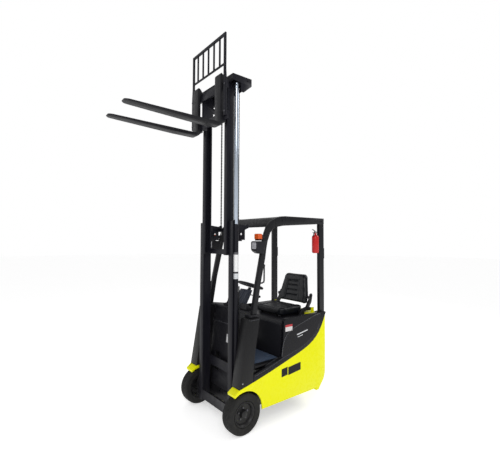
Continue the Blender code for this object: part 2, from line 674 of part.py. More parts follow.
# ---------------------------------------------------------------- wheels and axles
def make_front_axle():
    """Plates inside the front wheels, the beam that ties them, stub axles and mast pins."""
    pivot_y, pivot_z = MAST_PIVOT
    plate = [(-0.060, 0.110), (0.060, 0.100), (0.215, 0.130), (0.499 - GAP, 0.220), (0.499 - GAP, 0.330)]
    plate += [(0.215, 0.330), (0.080, 0.420), (-0.050, 0.300)]
    outer = AXLE_PLATE_X + 0.014
    beam = block((-AXLE_PLATE_X - 0.004, AXLE_PLATE_X + 0.004), (0.085, 0.165), (0.120, 0.230))
    for _, sign in SIDES:
        side = side_outline(plate, both(sign, AXLE_PLATE_X, outer))
        root = sign * (outer - 0.004)
        stub = round_bar((root, 0.0, TYRE_RADIUS), (sign * 0.4380, 0.0, TYRE_RADIUS), 0.0200, 20)
        pin = round_bar((sign * (AXLE_PLATE_X + 0.004), pivot_y, pivot_z),
                        (sign * 0.2960, pivot_y, pivot_z), 0.0150, 20)
        combine(beam, "UNION", side, stub, pin)
    return dress(beam, "front_axle", BLACK, 0.5)


def make_front_wheel(name, sign):
    """Solid tyre on a dished rim, in one body, bored for the stub axle."""
    half = TYRE_WIDTH / 2
    bore = 0.0206
    profile = [(bore, 0.030), (0.060, 0.030), (0.072, 0.012), (0.100, 0.012), (0.112, 0.048), (0.124, 0.050)]
    profile += [(0.140, half), (0.172, half - 0.004), (0.184, half - 0.016), (TYRE_RADIUS, half - 0.034)]
    profile += [(TYRE_RADIUS, -half + 0.034), (0.184, -half + 0.016), (0.172, -half + 0.004), (0.140, -half)]
    profile += [(0.124, -0.050), (0.112, -0.048), (0.100, -0.010), (0.060, -0.010), (0.056, -0.052)]
    profile += [(bore, -0.052)]
    turn = (0.0, math.pi / 2 * sign, 0.0)
    wheel = turned(profile, (sign * TYRE_X, 0.0, TYRE_RADIUS), turn, 40)
    return dress(wheel, name, RUBBER, 0.75)


def make_drive_unit():
    """Steered turret under the deck: ring, gear leg beside the wheel, and stub axle."""
    ring = round_bar((0.0, STEER_Y, 0.5240), (0.0, STEER_Y, 0.5640), 0.150, 32)
    neck = round_bar((0.0, STEER_Y, 0.55), (0.0, STEER_Y, 0.680), 0.0590, 24)
    leg = [(STEER_Y - 0.060, 0.10), (STEER_Y + 0.060, 0.10), (STEER_Y + 0.075, 0.165)]
    leg += [(STEER_Y + 0.085, 0.540), (STEER_Y - 0.085, 0.540), (STEER_Y - 0.075, 0.165)]
    half = DRIVE_TYRE_WIDTH / 2
    side = side_outline(leg, (half + 0.007, half + 0.062))
    bevel(side, 0.010)
    crown = side_outline([(STEER_Y - 0.07, 0.385), (STEER_Y + 0.07, 0.385), (STEER_Y + 0.10, 0.530),
                          (STEER_Y - 0.10, 0.530)], (-0.050, half + 0.030))
    z = DRIVE_TYRE_RADIUS
    stub = round_bar((half + 0.020, STEER_Y, z), (-0.038, STEER_Y, z), 0.0200, 20)
    combine(ring, "UNION", neck, side, crown, stub)
    return dress(ring, "drive_unit", BLACK, 0.5)


def make_drive_wheel():
    """Single rear wheel with a solid tyre."""
    half = DRIVE_TYRE_WIDTH / 2
    r = DRIVE_TYRE_RADIUS
    profile = [(0.0206, 0.044), (0.050, 0.044), (0.058, 0.030), (0.100, 0.030)]
    profile += [(0.108, 0.046), (r - 0.030, half)]
    profile += [(r - 0.010, half - 0.004), (r, half - 0.016), (r, -half + 0.016), (r - 0.010, -half + 0.004)]
    profile += [(r - 0.030, -half), (0.108, -0.046), (0.100, -0.030), (0.058, -0.030), (0.050, -0.044)]
    profile += [(0.0206, -0.044)]
    wheel = turned(profile, (0.0, STEER_Y, r), (0.0, -math.pi / 2, 0.0), 36)
    return dress(wheel, "drive_wheel", RUBBER, 0.75)


# ---------------------------------------------------------------- mast
def make_outer_mast():
    """Outer uprights, their ties, cylinder feet with pivot bores, and the chain anchor brackets."""
    z = (0.085, OUTER_TOP)
    pivot_y, pivot_z = MAST_PIVOT
    eye_y, eye_z = TILT_EYE
    mast = block((-0.2445, 0.2445), (-0.0455, -0.030), (0.108, 0.205))
    ties = []
    for _, sign in SIDES:
        web = block(both(sign, 0.2420, 0.2540), (-0.046, 0.050), z)
        front = block(both(sign, 0.2390, 0.3050), (-0.046, -0.034), z)
        rear = block(both(sign, 0.2390, 0.2620), (0.040, 0.050), z)
        foot = block(both(sign, 0.2460, 0.3140), (-0.040, 0.046), (0.130, 0.2500))
        bore = round_bar((sign * 0.290, pivot_y, pivot_z), (sign * 0.330, pivot_y, pivot_z), 0.0156, 20)
        wing = [(0.044, 1.800), (0.112, 1.800), (0.112, 1.812), (0.150, 1.812), (0.150, 1.915)]
        wing += [(0.200, 1.937), (0.200, 1.965), (0.180, 1.973), (0.150, 1.960), (0.044, 1.973)]
        bracket = side_outline(wing, both(sign, 0.2400, 0.2500))
        hole = round_bar((sign * 0.20, 0.105, 1.872), (sign * 0.30, 0.105, 1.872), 0.012, 12)
        combine(bracket, "DIFFERENCE", hole)
        eye = [(0.062, eye_z - 0.042), (eye_y, eye_z - 0.018), (eye_y + 0.018, eye_z)]
        eye += [(eye_y, eye_z + 0.018), (0.062, eye_z + 0.042)]
        step = block(both(sign, 0.2400, 0.2610), (0.045, 0.066), (0.452, 0.548))
        lug = side_outline(eye, both(sign, TILT_X + 0.014, TILT_X + 0.024))
        inner_end = (sign * (TILT_X - 0.012), eye_y, eye_z)
        pin = round_bar(inner_end, (sign * (TILT_X + 0.018), eye_y, eye_z), 0.008, 12)
        combine(mast, "UNION", web, front, rear, foot, bracket, step)
        ties.extend((lug, pin))
        combine(mast, "DIFFERENCE", bore)
    lower_tie = block((-0.2600, 0.2600), (0.0575, 0.0665), (0.450, 0.550))
    anchor_bar = block((-0.2450, 0.2450), (CHAIN_REAR_Y - 0.008, CHAIN_REAR_Y + 0.018), (1.900, 1.919))
    upper_tie = block((-0.2450, 0.2450), (0.143, 0.153), (1.900, 1.942))
    combine(mast, "UNION", lower_tie, anchor_bar, upper_tie, *ties)
    return dress(mast, "outer_mast", BLACK, 0.4, 0.2)


def make_inner_mast():
    """Inner uprights that open inwards, a bottom tie, and the crosshead with its sheave plates."""
    z = (INNER_BOTTOM, INNER_TOP + 0.001)
    half = HEAD_HALF_WIDTH
    mast = block((-0.224, 0.224), (0.0165, 0.0300), (INNER_BOTTOM + 0.002, INNER_BOTTOM + 0.056))
    head = [(-0.067, 3.395), (-0.067, HEAD_TOP - 0.001), (0.168, HEAD_TOP - 0.001)]
    head += [(0.168, 3.385), (0.070, 3.300), (0.034, 3.300), (0.034, 3.382), (0.022, 3.395)]
    hanger = [(SHEAVE_Y - 0.034, INNER_TOP + 0.001), (SHEAVE_Y - 0.016, SHEAVE_Z - 0.016)]
    hanger += [(SHEAVE_Y + 0.016, SHEAVE_Z - 0.016), (SHEAVE_Y + 0.034, INNER_TOP + 0.001)]
    plates = []
    for _, sign in SIDES:
        web = block(both(sign, 0.2210, 0.2330), (-0.067, 0.016), z)
        front = block(both(sign, 0.1830, 0.2330), (-0.067, -0.054), z)
        rear = block(both(sign, 0.1830, 0.2330), (0.003, 0.0170), z)
        cheek = side_outline(head, both(sign, half - 0.008, half))
        brow = block(both(sign, 0.2320, half - 0.001), (-0.0665, -0.0535), (3.396, HEAD_TOP - 0.002))
        back = block(both(sign, 0.263, half - 0.001), (0.160, 0.1675), (3.386, HEAD_TOP - 0.002))
        combine(mast, "UNION", web, front, rear)
        plates.extend((cheek, brow, back))
        for x in (CHAIN_X - 0.024, CHAIN_X + 0.018):
            plate = side_outline(hanger, both(sign, x, x + 0.006))
            centre = (SHEAVE_Y, SHEAVE_Z)
            hole = round_bar((sign * (x - 0.01), *centre), (sign * (x + 0.02), *centre), 0.0113, 12)
            combine(plate, "DIFFERENCE", hole)
            plates.append(plate)
    plates.append(block((-half, half), (-0.067, 0.168), (INNER_TOP, HEAD_TOP)))
    plates.append(block((-0.226, 0.226), (-0.0665, -0.0545), (3.410, HEAD_TOP - 0.002)))
    plates.append(block((-0.226, 0.226), (0.160, 0.1675), (3.386, HEAD_TOP - 0.002)))
    combine(mast, "UNION", *plates)
    return dress(mast, "inner_mast", BLACK, 0.4, 0.2)


def make_lift_cylinder(name, sign):
    """Barrel, open at its gland, with a turned foot."""
    bore = ROD_RADIUS + 0.0008
    profile = [(0.0, 0.290), (bore, 0.290), (bore, 1.968), (0.0295, 1.968), (0.0295, 1.925), (0.0285, 1.922)]
    profile += [(0.0285, 0.2506), (0.0, 0.2506)]
    barrel = turned(profile, (sign * CYLINDER_X, CYLINDER_Y, 0.0), (0.0, 0.0, 0.0), 20)
    return dress(barrel, name, BLACK, 0.35, 0.2)


def make_lift_rod(name, sign):
    """Chromed rod from the crosshead down into the barrel."""
    centre = (sign * CYLINDER_X, CYLINDER_Y)
    rod = round_bar((*centre, 1.760), (*centre, INNER_TOP - GAP), ROD_RADIUS, 20)
    return dress(rod, name, STEEL, 0.12, 1.0)


def make_sheaves():
    """Two chain wheels on one shaft under the crosshead."""
    shaft = round_bar((-0.1995, SHEAVE_Y, SHEAVE_Z), (0.1995, SHEAVE_Y, SHEAVE_Z), 0.011, 12)
    discs = []
    for _, sign in SIDES:
        x = sign * CHAIN_X
        centre = (SHEAVE_Y, SHEAVE_Z)
        discs.append(round_bar((x - 0.012, *centre), (x + 0.012, *centre), SHEAVE_RADIUS, 24))
    combine(shaft, "UNION", *discs)
    return dress(shaft, "chain_sheaves", STEEL, 0.4, 1.0)


def make_chains(side, sign):
    """Rear run to the anchor bar and front run to the carriage, one plain bar each."""
    x = (sign * CHAIN_X - 0.010, sign * CHAIN_X + 0.010)
    half = CHAIN_THICKNESS / 2
    rear = block(x, (CHAIN_REAR_Y - half, CHAIN_REAR_Y + half), (CHAIN_ANCHOR_Z, SHEAVE_Z))
    front = block(x, (CHAIN_FRONT_Y - half, CHAIN_FRONT_Y + half), (3.2503, SHEAVE_Z))
    dress(rear, "chain_rear_" + side, GREY, 0.45, 0.8)
    dress(front, "chain_front_" + side, GREY, 0.45, 0.8)
    return rear, front


def make_carriage():
    """Two fork bars, roller plates with four rollers, and the chain anchors."""
    face = CARRIAGE_FACE_Y
    top = block((-0.330, 0.330), (face, face + 0.020), (FORK_TOP + 0.333, FORK_TOP + 0.413))
    bottom = block((-0.330, 0.330), (face, face + 0.020), (FORK_TOP + 0.030, FORK_TOP + 0.110))
    pieces = [bottom]
    for _, sign in SIDES:
        plate = [(face + 0.018, FORK_TOP + 0.032), (-0.075, FORK_TOP + 0.032), (-0.060, 3.112)]
        plate += [(0.004, 3.118), (0.004, 3.198), (0.052, 3.208), (0.052, 3.250), (0.032, 3.250)]
        plate += [(0.004, 3.262), (0.004, 3.365), (-0.030, 3.385), (face + 0.018, 3.374)]
        pieces.append(side_outline(plate, both(sign, 0.1430, 0.1680)))
        for z in (3.137, 3.342):
            pieces.append(round_bar((sign * 0.160, -0.0255, z), (sign * 0.2150, -0.0255, z), 0.0235, 20))
    combine(top, "UNION", *pieces)
    return dress(top, "fork_carriage", BLACK, 0.45, 0.2)


def make_backrest():
    """Load backrest: frame with five bars, on posts that reach down the carriage ends."""
    half = 0.3215
    y = (CARRIAGE_FACE_Y - 0.0163, CARRIAGE_FACE_Y - GAP)
    top_z = FORK_TOP + 0.885
    rest = block((-half, half), y, (top_z - 0.028, top_z))
    for _, sign in SIDES:
        x = sign * half
        post = front_outline([(x, top_z - 0.002), (x - sign * 0.028, top_z - 0.002),
                              (x - sign * 0.028, FORK_TOP + 0.060), (x + sign * 0.010, FORK_TOP + 0.060),
                              (x + sign * 0.010, FORK_TOP + 0.410), (x, FORK_TOP + 0.520)], y)
        combine(rest, "UNION", post)
    rail_z = (FORK_TOP + 0.565, FORK_TOP + 0.583)
    rail = block((-half + 0.004, half - 0.004), (y[0] + 0.002, y[1] - 0.002), rail_z)
    bars = []
    for i in (-2, -1, 0, 1, 2):
        x = i * 0.1072
        bar_z = (FORK_TOP + 0.570, top_z - 0.010)
        bars.append(block((x - 0.0075, x + 0.0075), (y[0] + 0.001, y[1] - 0.001), bar_z))
    combine(rest, "UNION", rail, merge(*bars))
    return dress(rest, "load_backrest", BLACK, 0.45)


def make_fork(name, sign):
    """One fork: tapered blade, heel, shank and the two hooks on the carriage bars."""
    tip_y = FORK_FACE_Y - FORK_LENGTH
    back = CARRIAGE_FACE_Y - GAP
    thick = back - FORK_FACE_Y
    lip = CARRIAGE_FACE_Y + 0.020
    points = [(tip_y, FORK_TOP), (FORK_FACE_Y - 0.020, FORK_TOP)]
    points += arc((FORK_FACE_Y - 0.020, FORK_TOP + 0.020), 0.020, -60.0, 0.0, 3)
    points += [(FORK_FACE_Y, FORK_TOP + 0.475), (FORK_FACE_Y + 0.012, FORK_TOP + 0.492)]
    points += [(back, FORK_TOP + 0.480), (lip + 0.010, FORK_TOP + 0.440), (lip + 0.010, FORK_TOP + 0.390)]
    points += [(lip + GAP, FORK_TOP + 0.390), (lip + GAP, FORK_TOP + 0.4133), (back, FORK_TOP + 0.4133)]
    points += [(back, FORK_TOP + 0.0297), (lip + GAP, FORK_TOP + 0.0297), (lip + GAP, FORK_TOP + 0.050)]
    points += [(lip + 0.010, FORK_TOP + 0.050), (lip + 0.010, FORK_TOP + 0.012), (back, FORK_TOP + 0.004)]
    points += arc((back - 0.045, FORK_TOP - thick + 0.045), 0.045, 0.0, -90.0, 4)
    points += [(-0.420, FORK_TOP - thick), (tip_y + 0.020, FORK_TOP - 0.013), (tip_y, FORK_TOP - 0.009)]
    centre = 0.2186
    fork = side_outline(points, both(sign, centre - 0.050, centre + 0.050))
    return dress(fork, name, BLACK, 0.45)


def make_tilt_cylinder(side, sign):
    """Barrel on the frame side and rod on the mast side, with their eyes."""
    anchor = Vector((sign * TILT_X, *TILT_ANCHOR))
    eye = Vector((sign * TILT_X, *TILT_EYE))
    along = (eye - anchor).normalized()
    length = (eye - anchor).length
    across = Vector((1.0, 0.0, 0.0))
    lean = along.to_track_quat("Z", "Y").to_euler()
    bore = 0.0128
    profile = [(0.0, 0.040), (bore, 0.040), (bore, length - 0.105), (0.024, length - 0.105), (0.024, 0.020)]
    profile += [(0.0, 0.020)]
    barrel = turned(profile, anchor, lean, 16)
    knuckle = round_bar(anchor - across * 0.012, anchor + across * 0.012, 0.022, 16)
    hole = round_bar(anchor - across * 0.03, anchor + across * 0.03, 0.0086, 12)
    combine(barrel, "UNION", knuckle)
    combine(barrel, "DIFFERENCE", hole)
    dress(barrel, "tilt_cylinder_" + side, BLACK, 0.4)
    rod = round_bar(anchor + along * 0.075, eye - along * 0.008, 0.0120, 16)
    head = round_bar(eye - across * 0.010, eye + across * 0.010, 0.017, 16)
    slot = round_bar(eye - across * 0.03, eye + across * 0.03, 0.0105, 12)
    combine(rod, "UNION", head)
    combine(rod, "DIFFERENCE", slot)
    dress(rod, "tilt_rod_" + side, STEEL, 0.15, 1.0)
    return barrel, rod


# ---------------------------------------------------------------- assembly
def main():
    """Build every piece and hang it from the marker of the body that carries it."""
    truck = bpy.data.objects.new("truck", None)
    truck["place"] = [0.0, 0.0, 0.0]
    PARTS.objects.link(truck)
    truck.location = (0.0, AXLE_Y, 0.0)
    mast_axis = empty("mast_axis", (0.0, *MAST_PIVOT), truck)
    inner_axis = empty("inner_axis", (0.0, CYLINDER_Y, INNER_BOTTOM), mast_axis)
    carriage_axis = empty("carriage_axis", (0.0, CARRIAGE_FACE_Y, FORK_TOP), inner_axis)
    hood_axis = empty("hood_axis", (0.0, *HOOD_HINGE), truck)
    steer_axis = empty("steer_axis", (0.0, STEER_Y, DRIVE_TYRE_RADIUS), truck)
    column_axis = empty("column_axis", (0.0, *WHEEL_HUB), truck)

    hang(truck, make_chassis(), make_counterweight(), *make_floor(), make_cowl(), make_dash())
    for side, sign in SIDES:
        hang(truck, make_side_cover("side_cover_" + side, sign), make_leg_shield("leg_shield_" + side, sign))
    hang(truck, make_steering_column(), make_direction_lever(), make_control_levers(), make_display())
    hang(truck, make_pedals(), make_battery(), *make_guard(), *make_lamps())
    hang(truck, make_grab_handle(), make_extinguisher(), make_front_axle())
    hang(column_axis, make_steering_wheel())
    hang(hood_axis, make_hood(), *make_seat())
    hang(truck, make_battery_front())

    for side, sign in SIDES:
        hang(truck, make_front_wheel("front_wheel_" + side, sign))
    hang(steer_axis, make_drive_unit(), make_drive_wheel())

    hang(mast_axis, make_outer_mast())
    hang(inner_axis, make_inner_mast(), make_sheaves())
    hang(carriage_axis, make_carriage(), make_backrest())
    for side, sign in SIDES:
        hang(mast_axis, make_lift_cylinder("lift_cylinder_" + side, sign))
        hang(inner_axis, make_lift_rod("lift_rod_" + side, sign))
        rear, front = make_chains(side, sign)
        hang(mast_axis, rear)
        hang(carriage_axis, front, make_fork("fork_" + side, sign))
        barrel, rod = make_tilt_cylinder(side, sign)
        hang(truck, barrel, rod)


main()
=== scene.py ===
"""Looks of a small three-wheel counterbalance forklift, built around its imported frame.

The frame gives every place and size. Each class below dresses one sub-assembly: it softens the
edges of the carried-over pieces, replaces plain solids with detailed surfaces, and gives each
piece a procedural finish. Lengths are metres, +Z is up and the truck faces -Y.
"""

from __future__ import annotations

import json
import logging
import math
from dataclasses import dataclass, field
from enum import Enum
from typing import Any, Iterable, Sequence

import bmesh
import bpy
import numpy as np
from mathutils import Matrix, Vector


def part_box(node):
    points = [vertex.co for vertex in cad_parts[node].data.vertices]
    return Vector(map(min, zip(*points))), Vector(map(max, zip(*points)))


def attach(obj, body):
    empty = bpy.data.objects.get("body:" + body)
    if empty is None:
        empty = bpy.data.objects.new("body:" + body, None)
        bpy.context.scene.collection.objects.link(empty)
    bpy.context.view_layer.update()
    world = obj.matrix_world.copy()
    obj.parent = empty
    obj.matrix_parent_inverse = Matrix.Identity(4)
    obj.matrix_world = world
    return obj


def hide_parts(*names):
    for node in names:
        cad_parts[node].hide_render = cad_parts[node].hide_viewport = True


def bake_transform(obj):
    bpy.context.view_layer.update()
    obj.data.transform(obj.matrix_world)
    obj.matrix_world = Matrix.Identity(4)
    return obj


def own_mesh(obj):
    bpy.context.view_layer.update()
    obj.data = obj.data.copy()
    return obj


LOG = logging.getLogger("forklift")
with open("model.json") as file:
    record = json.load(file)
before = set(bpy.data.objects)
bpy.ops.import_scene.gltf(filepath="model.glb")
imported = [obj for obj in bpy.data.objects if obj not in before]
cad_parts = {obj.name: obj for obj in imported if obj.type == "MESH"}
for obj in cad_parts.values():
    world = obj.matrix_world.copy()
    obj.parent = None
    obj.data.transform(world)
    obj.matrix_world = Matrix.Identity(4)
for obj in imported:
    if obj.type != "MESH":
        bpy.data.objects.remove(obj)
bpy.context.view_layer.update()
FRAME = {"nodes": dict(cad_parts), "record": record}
SIDES = (("left", 1.0), ("right", -1.0))
Colour = tuple[float, float, float]
AXLE = -0.05  # Y of the front axle line
WELD = 1e-5  # distance that the vertices of a copied piece are merged over


class Plane(Enum):
    """The plane a flat outline is drawn in: its two axes and the axis it is extruded along."""

    SIDE = (1, 2, 0)
    FRONT = (0, 2, 1)
    PLAN = (0, 1, 2)


class Grain(Enum):
    """Fine relief of a surface."""

    PEEL = "orange peel of sprayed paint"
    MOULDED = "fine pebble of moulded plastic"
    LEATHER = "creased vinyl"
    ROLLED = "rolled steel under paint"
    BRUSHED = "drawn metal"
    RUBBER = "dull rubber"


# ---------------------------------------------------------------- finishes
class Graph:
    """Small helper that adds and joins the nodes of one material."""

    def __init__(self, name: str) -> None:
        """Start a material with an empty graph and one Principled shader.

        Args:
            name: Piece name.
        """
        self.material = bpy.data.materials.new(name)
        self.material.use_nodes = True
        self.tree = self.material.node_tree
        self.shader = self.tree.nodes["Principled BSDF"]
        self.place = self.add("ShaderNodeTexCoord").outputs["Object"]

    def add(self, kind: str, **values: Any) -> bpy.types.Node:
        """Add a node and set its attributes.

        Args:
            kind: Type of the node.

        Returns:
            The new node.
        """
        node = self.tree.nodes.new(kind)
        for key, value in values.items():
            setattr(node, key, value)
        return node

    def join(self, source: bpy.types.NodeSocket, target: bpy.types.NodeSocket) -> None:
        """Link an output to an input."""
        self.tree.links.new(source, target)

    def stretched(self, scale: Sequence[float]) -> bpy.types.NodeSocket:
        """Object coordinates scaled by three factors.

        Args:
            scale: Three factors.

        Returns:
            The socket with the result.
        """
        mapping = self.add("ShaderNodeMapping")
        mapping.inputs["Scale"].default_value = scale
        self.join(self.place, mapping.inputs["Vector"])
        return mapping.outputs["Vector"]

    def noise(self, scale: float, detail: float = 3.0,
              stretch: Sequence[float] = (1, 1, 1)) -> bpy.types.NodeSocket:
        """Fractal noise in 0 to 1.

        Args:
            scale: Features per metre.
            detail: Octaves of the noise.
            stretch: Scaling along the three axes.

        Returns:
            The socket with the result.
        """
        node = self.add("ShaderNodeTexNoise")
        node.inputs["Scale"].default_value = scale
        node.inputs["Detail"].default_value = detail
        self.join(self.stretched(stretch), node.inputs["Vector"])
        return node.outputs["Fac"]

    def cells(self, scale: float) -> bpy.types.NodeSocket:
        """Distance to the nearest cell centre.

        Args:
            scale: Features per metre.

        Returns:
            The socket with the result.
        """
        node = self.add("ShaderNodeTexVoronoi")
        node.inputs["Scale"].default_value = scale
        self.join(self.place, node.inputs["Vector"])
        return node.outputs["Distance"]

    def remap(self, value: bpy.types.NodeSocket, source: tuple[float, float],
              target: tuple[float, float]
              ) -> bpy.types.NodeSocket:
        """Map one range onto another, clamped.

        Args:
            value: Value to use.
            source: Range that the value runs over.
            target: Range that it is mapped onto.

        Returns:
            The socket with the result.
        """
        node = self.add("ShaderNodeMapRange")
        for key, number in zip(("From Min", "From Max", "To Min", "To Max"), source + target):
            node.inputs[key].default_value = number
        self.join(value, node.inputs["Value"])
        return node.outputs["Result"]

    def times(self, a: bpy.types.NodeSocket, b: bpy.types.NodeSocket) -> bpy.types.NodeSocket:
        """Product of two values.

        Args:
            a: First value.
            b: Second value.

        Returns:
            The socket with the result.
        """
        node = self.add("ShaderNodeMath", operation="MULTIPLY")
        self.join(a, node.inputs[0])
        self.join(b, node.inputs[1])
        return node.outputs[0]

    def blend(self, factor: bpy.types.NodeSocket, first: Any, second: Any) -> bpy.types.NodeSocket:
        """Mix two colours, each given as a socket or as numbers.

        Args:
            factor: Share of the second colour.
            first: First colour.
            second: Second colour.

        Returns:
            The socket with the result.
        """
        node = self.add("ShaderNodeMix", data_type="RGBA")
        self.join(factor, node.inputs["Factor"])
        for socket, colour in ((node.inputs[6], first), (node.inputs[7], second)):
            if isinstance(colour, bpy.types.NodeSocket):
                self.join(colour, socket)
            else:
                socket.default_value = (*colour, 1.0)
        return node.outputs[2]

    def height(self) -> bpy.types.NodeSocket:
        """Height above the ground."""
        node = self.add("ShaderNodeSeparateXYZ")
        self.join(self.place, node.inputs[0])
        return node.outputs["Z"]

    def relief(self, value: bpy.types.NodeSocket, depth: float,
               under: bpy.types.NodeSocket | None = None
               ) -> bpy.types.NodeSocket:
        """Bump of a given depth in metres, on top of another one.

        Args:
            value: Value to use.
            depth: Depth in metres.
            under: Relief below this one.

        Returns:
            The socket with the result.
        """
        node = self.add("ShaderNodeBump")
        node.inputs["Strength"].default_value = 1.0
        node.inputs["Distance"].default_value = depth
        self.join(value, node.inputs["Height"])
        if under is not None:
            self.join(under, node.inputs["Normal"])
        return node.outputs["Normal"]


@dataclass(frozen=True)
class Finish:
    """A surface finish with mottled colour, uneven gloss, dust low down and fine relief.

    Attributes:
        name: Material name.
        colour: Base colour, linear.
        roughness: Mean roughness.
        metallic: 1 for bare metal.
        coat: Weight of a clear coat.
        shine: Specular level.
        grain: Kind of fine relief.
        depth: Depth of that relief in metres.
        mottle: Share of the darker tint in the colour.
        smudge: Spread of the roughness.
        dust: Share of dust at ground level, fading out upwards.
        streak: Scale of the smudges along X, Y and Z.
    """

    name: str
    colour: Colour
    roughness: float = 0.5
    metallic: float = 0.0
    coat: float = 0.0
    shine: float = 0.5
    grain: Grain = Grain.PEEL
    depth: float = 0.00004
    mottle: float = 0.15
    smudge: float = 0.10
    dust: float = 0.10
    streak: tuple[float, float, float] = (1.0, 1.0, 1.0)

    def grain_map(self, graph: Graph) -> bpy.types.NodeSocket:
        """Pick the height map of the grain.

        Args:
            graph: Graph to add nodes to.

        Returns:
            The socket with the result.
        """
        if self.grain is Grain.MOULDED:
            return graph.cells(620.0)
        if self.grain is Grain.LEATHER:
            return graph.remap(graph.cells(380.0), (0.0, 0.55), (1.0, 0.0))
        if self.grain is Grain.ROLLED:
            return graph.noise(190.0, 6.0, (1.0, 1.0, 0.45))
        if self.grain is Grain.BRUSHED:
            return graph.noise(260.0, 4.0, (1.0, 1.0, 0.05))
        if self.grain is Grain.RUBBER:
            return graph.noise(420.0, 5.0)
        return graph.noise(320.0, 1.0)

    def material(self) -> bpy.types.Material:
        """Build the node graph.

        Returns:
            The finished material.
        """
        graph = Graph(self.name)
        shader = graph.shader
        patches = graph.noise(3.5, 4.0, self.streak)
        fine = graph.noise(38.0, 6.0, self.streak)
        dark = tuple(c * 0.55 for c in self.colour)
        tint = graph.blend(graph.remap(patches, (0.35, 0.75), (0.0, self.mottle)), self.colour,
                           dark)
        low = graph.remap(graph.height(), (0.02, 0.75), (1.0, 0.0))
        settled = graph.times(low, graph.remap(fine, (0.35, 0.70), (0.0, self.dust)))
        graph.join(graph.blend(settled, tint, (0.33, 0.31, 0.28)), shader.inputs["Base Color"])
        spread = (self.roughness - self.smudge, self.roughness + self.smudge)
        graph.join(graph.remap(fine, (0.30, 0.70), spread), shader.inputs["Roughness"])
        shader.inputs["Metallic"].default_value = self.metallic
        shader.inputs["Specular IOR Level"].default_value = self.shine
        shader.inputs["Coat Weight"].default_value = self.coat
        shader.inputs["Coat Roughness"].default_value = 0.08
        under = graph.relief(patches, self.depth * 4.0)
        graph.join(graph.relief(self.grain_map(graph), self.depth, under), shader.inputs["Normal"])
        return graph.material


@dataclass(frozen=True)
class RibbedFinish(Finish):
    """Finish with parallel moulded ribs along one axis.

    Attributes:
        ribs: Ribs per metre.
        across: Axis that the ribs repeat along, 0 to 2.
        rib_depth: Height of a rib in metres.
    """

    ribs: float = 90.0
    across: int = 1
    rib_depth: float = 0.0008

    def grain_map(self, graph: Graph) -> bpy.types.NodeSocket:
        """Sine ribs: height = 0.5 + 0.5 sin(2 pi ribs s).

        Args:
            graph: Graph to add nodes to.

        Returns:
            The socket with the result.
        """
        node = graph.add("ShaderNodeTexWave", wave_type="BANDS", bands_direction="XYZ"[self.across])
        node.inputs["Scale"].default_value = self.ribs / 3.1831
        node.inputs["Distortion"].default_value = 0.0
        graph.join(graph.place, node.inputs["Vector"])
        return node.outputs["Fac"]


@dataclass(frozen=True)
class SheetFinish(Finish):
    """Blank plate or label: a ground colour and a band along the top.

    Attributes:
        low: Height of the lower edge.
        high: Height of the upper edge.
        band: Colour of the upper band.
        band_share: Share of the height that the band takes.
    """

    low: float = 0.0
    high: float = 1.0
    band: Colour = (0.6, 0.02, 0.02)
    band_share: float = 0.3

    def material(self) -> bpy.types.Material:
        """Build the node graph of the blank face.

        Returns:
            The finished material.
        """
        graph = Graph(self.name)
        shader = graph.shader
        up = graph.remap(graph.height(), (self.low, self.high), (0.0, 1.0))
        step = graph.add("ShaderNodeMath", operation="GREATER_THAN")
        step.inputs[1].default_value = 1.0 - self.band_share
        graph.join(up, step.inputs[0])
        fine = graph.noise(60.0, 4.0)
        worn = graph.blend(graph.remap(fine, (0.4, 0.8), (0.0, 0.12)), self.colour, (0.3, 0.3, 0.3))
        graph.join(graph.blend(step.outputs[0], worn, self.band), shader.inputs["Base Color"])
        graph.join(graph.remap(fine, (0.3, 0.7), (0.30, 0.48)), shader.inputs["Roughness"])
        graph.join(graph.relief(fine, 0.00002), shader.inputs["Normal"])
        return graph.material


LIME = Finish("lime_paint", (0.80, 0.80, 0.004), 0.28, shine=0.12, mottle=0.03, smudge=0.06,
              dust=0.008)
BLACK_PAINT = Finish("satin_black_paint", (0.008, 0.008, 0.010), 0.36, shine=0.20, dust=0.03,
                     mottle=0.3)
MAST_PAINT = Finish("mast_paint", (0.008, 0.008, 0.012), 0.40, shine=0.16, grain=Grain.ROLLED,
                    depth=0.0001,
                    mottle=0.35, smudge=0.12, dust=0.03, streak=(1.0, 1.0, 0.12))
FORK_PAINT = Finish("fork_paint", (0.010, 0.010, 0.012), 0.44, shine=0.20, grain=Grain.ROLLED,
                    depth=0.00012,
                    mottle=0.35, smudge=0.14, streak=(1.0, 0.2, 1.0))
PANEL = Finish("panel_plastic", (0.005, 0.005, 0.007), 0.28, shine=0.16, grain=Grain.MOULDED,
               depth=0.00003,
               smudge=0.05, dust=0.015)
SHIELD = Finish("shield_plastic", (0.009, 0.009, 0.010), 0.42, shine=0.18, grain=Grain.MOULDED,
                depth=0.00006,
                smudge=0.08, dust=0.02)
PLASTIC = Finish("grained_plastic", (0.010, 0.010, 0.013), 0.46, shine=0.20, grain=Grain.MOULDED,
                 depth=0.00008,
                 dust=0.02)
# The beads are real raised geometry, but this grey, about ten times lighter than the black
# plastics, is a painted highlight along their edges.
HIGHLIGHT_BEAD = Finish("edge_bead_painted_highlight", (0.055, 0.057, 0.066), 0.22, shine=0.7, grain=Grain.MOULDED,
              depth=0.00002, dust=0.0)
COLUMN = Finish("column_plastic", (0.016, 0.021, 0.036), 0.42, shine=0.35, grain=Grain.MOULDED,
                depth=0.00006,
                mottle=0.35)
VINYL = Finish("seat_vinyl", (0.0035, 0.0045, 0.0070), 0.34, shine=0.24, grain=Grain.LEATHER,
               depth=0.00012,
               mottle=0.2, smudge=0.08, dust=0.0)
TREAD = Finish("tyre_rubber", (0.012, 0.012, 0.012), 0.70, shine=0.18, grain=Grain.RUBBER,
               depth=0.0002,
               dust=0.05, mottle=0.30)
